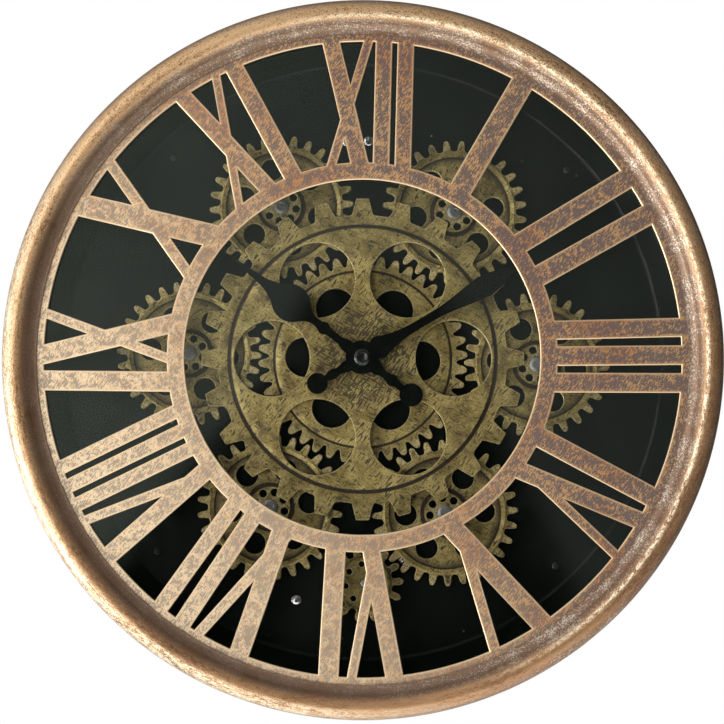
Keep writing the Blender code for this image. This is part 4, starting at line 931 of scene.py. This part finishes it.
def smooth_line(stations, pieces=5):
    """Stations joined by a smooth line that passes through each."""
    points = [Vector(station) for station in stations]
    points = [points[0]] + points + [points[-1]]
    result = []
    for a, b, c, d in zip(points, points[1:], points[2:], points[3:]):
        for n in range(pieces):
            t = n / pieces
            result.append(0.5 * (2 * b + (c - a) * t + (2 * a - 5 * b + 4 * c - d) * t ** 2
                                 + (3 * b - a - 3 * c + d) * t ** 3))
    result.append(points[-1])
    return [tuple(point) for point in result]


def hand_outline(blade, tail, ball, turn):
    distance, radius = ball
    blade_line = smooth_line(blade)
    tail_line = smooth_line(tail)
    front_angle = degrees(acos(blade[0][0] / hypot(*blade[0])))
    tail_angle = 180 - degrees(atan2(tail[0][1], tail[0][0]))
    boss = arc((0.0, 0.0), HAND_BOSS, front_angle + 4, tail_angle - 4, 14)
    neck = degrees(atan2(tail[-1][1], distance - tail[-1][0]))
    ball_arc = arc((-distance, 0.0), radius, neck, 180, 18)
    upper = list(reversed(blade_line)) + boss + [(-s, half) for s, half in tail_line[:-1]] + ball_arc
    outline = upper + [(s, -half) for s, half in reversed(upper[:-1])]
    ray = Vector(polar(1.0, turn))
    side = Vector((-ray.y, ray.x))
    return [tuple(ray * s + side * half) for s, half in outline]


def make_hands():
    spacing, chamfer = 0.0030, 0.00025
    rows = (("hour", HOUR_BLADE, HOUR_TAIL, HOUR_BALL, HOUR_ANGLE, 0.0029),
            ("minute", MINUTE_BLADE, MINUTE_TAIL, MINUTE_BALL, MINUTE_ANGLE, 0.0019))
    for body, blade, tail, ball, turn, seat in rows:
        back, front = depths(f"{body}_hand")
        polygons = [hand_outline(blade, tail, ball, turn), circle(seat, 24)]
        relief(f"{body}_pointer", polygons, lambda x, z, top=front: top, back, spacing, chamfer, hand_paint,
               body, "hand_black", [f"{body}_hand"])
    back, front = depths("hand_nut")
    nut = [(0.0, front - 0.0014), (0.0019, front - 0.0014), (0.0019, back), (0.0066, back),
           (0.0066, back + 0.0015), (0.0063, back + 0.0021), (0.0055, back + 0.0026),
           (0.0050, front - 0.0003), (0.0044, front), (0.0036, front), (0.0032, front - 0.0003),
           (0.0, front - 0.0003)]
    turned("hand_cap", nut, 64, cap_enamel, "minute", "hand_black", ["hand_nut"], round_below=40)


# Fasteners and what is behind the dish

def make_fasteners():
    seat = depths("back_pan")[0] + PAN_SHEET + GAP
    rows = [(f"bracket_screw_{n}", 0.0032, dark_screw, "black_enamel") for n in range(1, 5)]
    rows += [(f"motor_screw_{n}", 0.0040, chrome, "chrome_dome") for n in (1, 2)]
    rows += [(f"hanger_rivet_{n}", 0.0040, chrome, "chrome_dome") for n in (1, 2)]
    for node, head, material, slot in rows:
        back, front = depths(node)
        skirt = seat + 0.0003
        turns = [radians(angle) for angle in range(0, 90, 15)]
        dome = [(head * cos(turn), skirt + (front - skirt) * sin(turn)) for turn in turns]
        if "rivet" in node:
            tail = [(0.0, back), (0.0026, back + 0.0004), (0.0032, back + 0.0018), (0.0018, back + 0.0018)]
        else:
            tail = [(0.0, back), (0.0012, back), (0.0018, back + 0.0006)]
        if "bracket" in node:
            dome += [(0.0014, front - 0.0001), (0.0011, front - 0.0010), (0.0, front - 0.0010)]
        else:
            dome.append((0.0, front))
        profile = tail + [(0.0018, seat), (head, seat)] + dome
        turned(f"{node}_fine", profile, 36, material, "case", slot, [node], middle(node), 50)


def make_cells():
    for node in ("movement_cell", "motor_cell_1", "motor_cell_2"):
        low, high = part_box(node)
        radius = min((high.z - low.z) / 2 / cos(pi / 10), (high.y - low.y) / 2)
        axis = ((low.z + high.z) / 2, -(low.y + high.y) / 2)
        cap = 0.0014
        left, right = low.x, high.x - cap
        can = [(0.0, left), (radius * 0.90, left), (radius * 0.94, left + 0.0003),
               (radius * 0.94, left + 0.0006), (radius, left + 0.0009), (radius, right - 0.0009),
               (radius * 0.95, right - 0.0003), (radius * 0.80, right - 0.0001),
               (radius * 0.78, right - 0.0004), (0.0028, right - 0.0004), (0.0027, right + 0.0011),
               (0.0023, right + cap), (0.0, right + cap)]
        points, faces = turned_mesh(can, 48)
        laid = [(along, axis[0] + up, axis[1] + out) for out, up, along in points]
        add_piece(f"{node}_can", laid, faces, sleeve, "case", "cell_can", [node])


def dress(node, material, bevel):
    """CAD node that stays, with a better material and softened edges."""
    piece = frame["nodes"][node]
    piece.data.materials.clear()
    piece.data.materials.append(material)
    modifier = piece.modifiers.new("soft_edges", "BEVEL")
    modifier.width = bevel
    modifier.segments = 2
    modifier.limit_method = "ANGLE"
    modifier.angle_limit = radians(35)


def make_rear():
    rows = [(f"rim_bracket_{n}", zinc, 0.0004) for n in range(1, 5)] + [("hanger_bracket", zinc, 0.0004)]
    rows += [(node, plastic, 0.0005) for node in ("gear_motor_case", "movement_case")]
    rows += [(node, plastic, 0.0003) for node in ("setting_knob", "gear_switch")]
    for row in rows:
        dress(*row)


# Stage, light and camera

FLOOR_LEVEL = -1.70


def make_stage():
    floor = bpy.data.meshes.new("floor")
    side = 3.0
    corners = [(-side, -side), (side, -side), (side, side), (-side, side)]
    floor.from_pydata([(x, y, FLOOR_LEVEL) for x, y in corners], [], [(0, 1, 2, 3)])
    shader = Shader("floor_paint", roughness=0.7)
    tone = shader.mix(shader.noise(shader.place, 6.0), (0.78, 0.78, 0.77), (0.82, 0.82, 0.81))
    shader.set("Base Color", tone)
    ray = shader.add("LightPath").outputs
    seen = shader.math("MAXIMUM", ray["Is Camera Ray"], ray["Is Glossy Ray"])
    seen = shader.math("MAXIMUM", seen, ray["Is Transmission Ray"])
    shader.set("Emission Color", (1.0, 1.0, 0.99, 1.0))
    shader.set("Emission Strength", shader.times(seen, 0.52))
    floor.materials.append(shader.material)
    put("floor", floor)


DARK_LEVEL = 0.078              # rise of the direction under which the glass mirrors an unlit wedge


def make_world():
    """White seen directly and white behind the clock, with a dimmer room on the viewer's side.

    The room is brightest at the lower left. Ahead of the dial it has an unlit wedge, which the glass
    mirrors as a dark zone from DARK_LEVEL downwards.
    """
    world = bpy.data.worlds.new("studio")
    bpy.context.scene.world = world
    world.use_nodes = True
    sky = Nodes(world.node_tree)
    x, y, z = sky.split(sky.add("TexCoord").outputs["Generated"])
    lean = sky.plus(sky.times(x, 0.87), sky.times(z, 0.49))
    room = sky.plus(sky.step(lean, -0.55, 0.05, 1.10, 0.36), sky.step(lean, -1.0, -0.35, 0.45, 0.0),
                    sky.step(lean, 0.05, 0.45, 0.0, -0.26), sky.step(z, 0.1, 0.9, 0.0, 0.30))
    behind = sky.times(sky.step(y, 0.05, 0.40, 0.0, 0.9), sky.step(z, -0.2, 0.2))
    room = sky.times(room, sky.math("SUBTRACT", 1.0, behind))
    rise = sky.math("MAXIMUM", sky.math("SUBTRACT", z, DARK_LEVEL), 0.0)
    drop = sky.math("MAXIMUM", sky.math("SUBTRACT", DARK_LEVEL, z), 0.0)
    side = sky.plus(x, sky.times(drop, 0.20), 0.010)
    away = sky.math("SQRT", sky.plus(sky.times(side, side), sky.times(rise, rise)))
    clear = sky.math("SUBTRACT", away, sky.plus(sky.times(drop, 0.65), 0.045))
    unlit = sky.times(sky.step(clear, -0.010, 0.006), sky.step(x, -0.17, 0.10, 1.00, 0.52))
    room = sky.times(room, sky.math("MAXIMUM", unlit, sky.step(y, -0.97, -0.90)))
    ray = sky.add("LightPath").outputs
    direct = sky.math("MAXIMUM", ray["Is Camera Ray"], ray["Is Transmission Ray"])
    backdrop = sky.times(sky.step(y, 0.85, 0.95), ray["Is Glossy Ray"])
    white = sky.math("MAXIMUM", direct, backdrop)
    level = sky.add("Mix", {0: white, 2: room, 3: 1.0}, data_type="FLOAT").outputs[0]
    sky.feed(sky.tree.nodes["Background"], {"Color": (1.0, 1.0, 1.0, 1.0), "Strength": level})


def make_lamps():
    """Rectangular lamps that face the dial's middle; the last number is the blue in their light."""
    rows = (("key", (-1.35, -0.55, -0.55), 0.6, 1.0, 16.5, 0.94),
            ("front", (-0.72, -1.32, -0.25), 0.4, 2.2, 7.0, 0.95),
            ("low", (0.0, -0.14, -1.20), 1.2, 0.5, 3.6, 0.95),
            ("front_low", (0.1, -1.00, -0.95), 1.2, 0.6, 2.4, 0.95))
    for name, place, width, height, power, blue in rows:
        lamp = bpy.data.lights.new(name, "AREA")
        lamp.shape = "RECTANGLE"
        lamp.size = width
        lamp.size_y = height
        lamp.energy = power
        lamp.color = (1.0, 0.98, blue)
        holder = put(name, lamp)
        holder.location = place
        holder.rotation_euler = (-Vector(place)).to_track_quat("-Z", "Y").to_euler()


CAMERA_DISTANCE = 1.60
CAMERA_RIGHT = 1.0
CAMERA_BELOW = 4.4
CAMERA_TARGET = (0.0, -0.0634, 0.0)
LENS = 108.36
SHIFT = (0.0, -0.0086)


def make_camera():
    camera = bpy.data.cameras.new("camera")
    camera.lens = LENS
    camera.sensor_width = 36.0
    camera.shift_x, camera.shift_y = SHIFT
    holder = put("camera", camera)
    side, below = radians(CAMERA_RIGHT), radians(CAMERA_BELOW)
    away = Vector((sin(side) * cos(below), -cos(side) * cos(below), -sin(below)))
    holder.location = Vector(CAMERA_TARGET) + away * CAMERA_DISTANCE
    holder.rotation_euler = (-away).to_track_quat("-Z", "Y").to_euler()
    bpy.context.scene.camera = holder


make_rim()
make_plate()
make_glass()
make_dish()
make_wheel()
make_sun()
make_planets()
make_driver()
make_studs()
make_hub()
make_hands()
make_fasteners()
make_cells()
make_rear()
make_stage()
make_world()
make_lamps()
make_camera()
bpy.context.scene.view_settings.view_transform = "Standard"
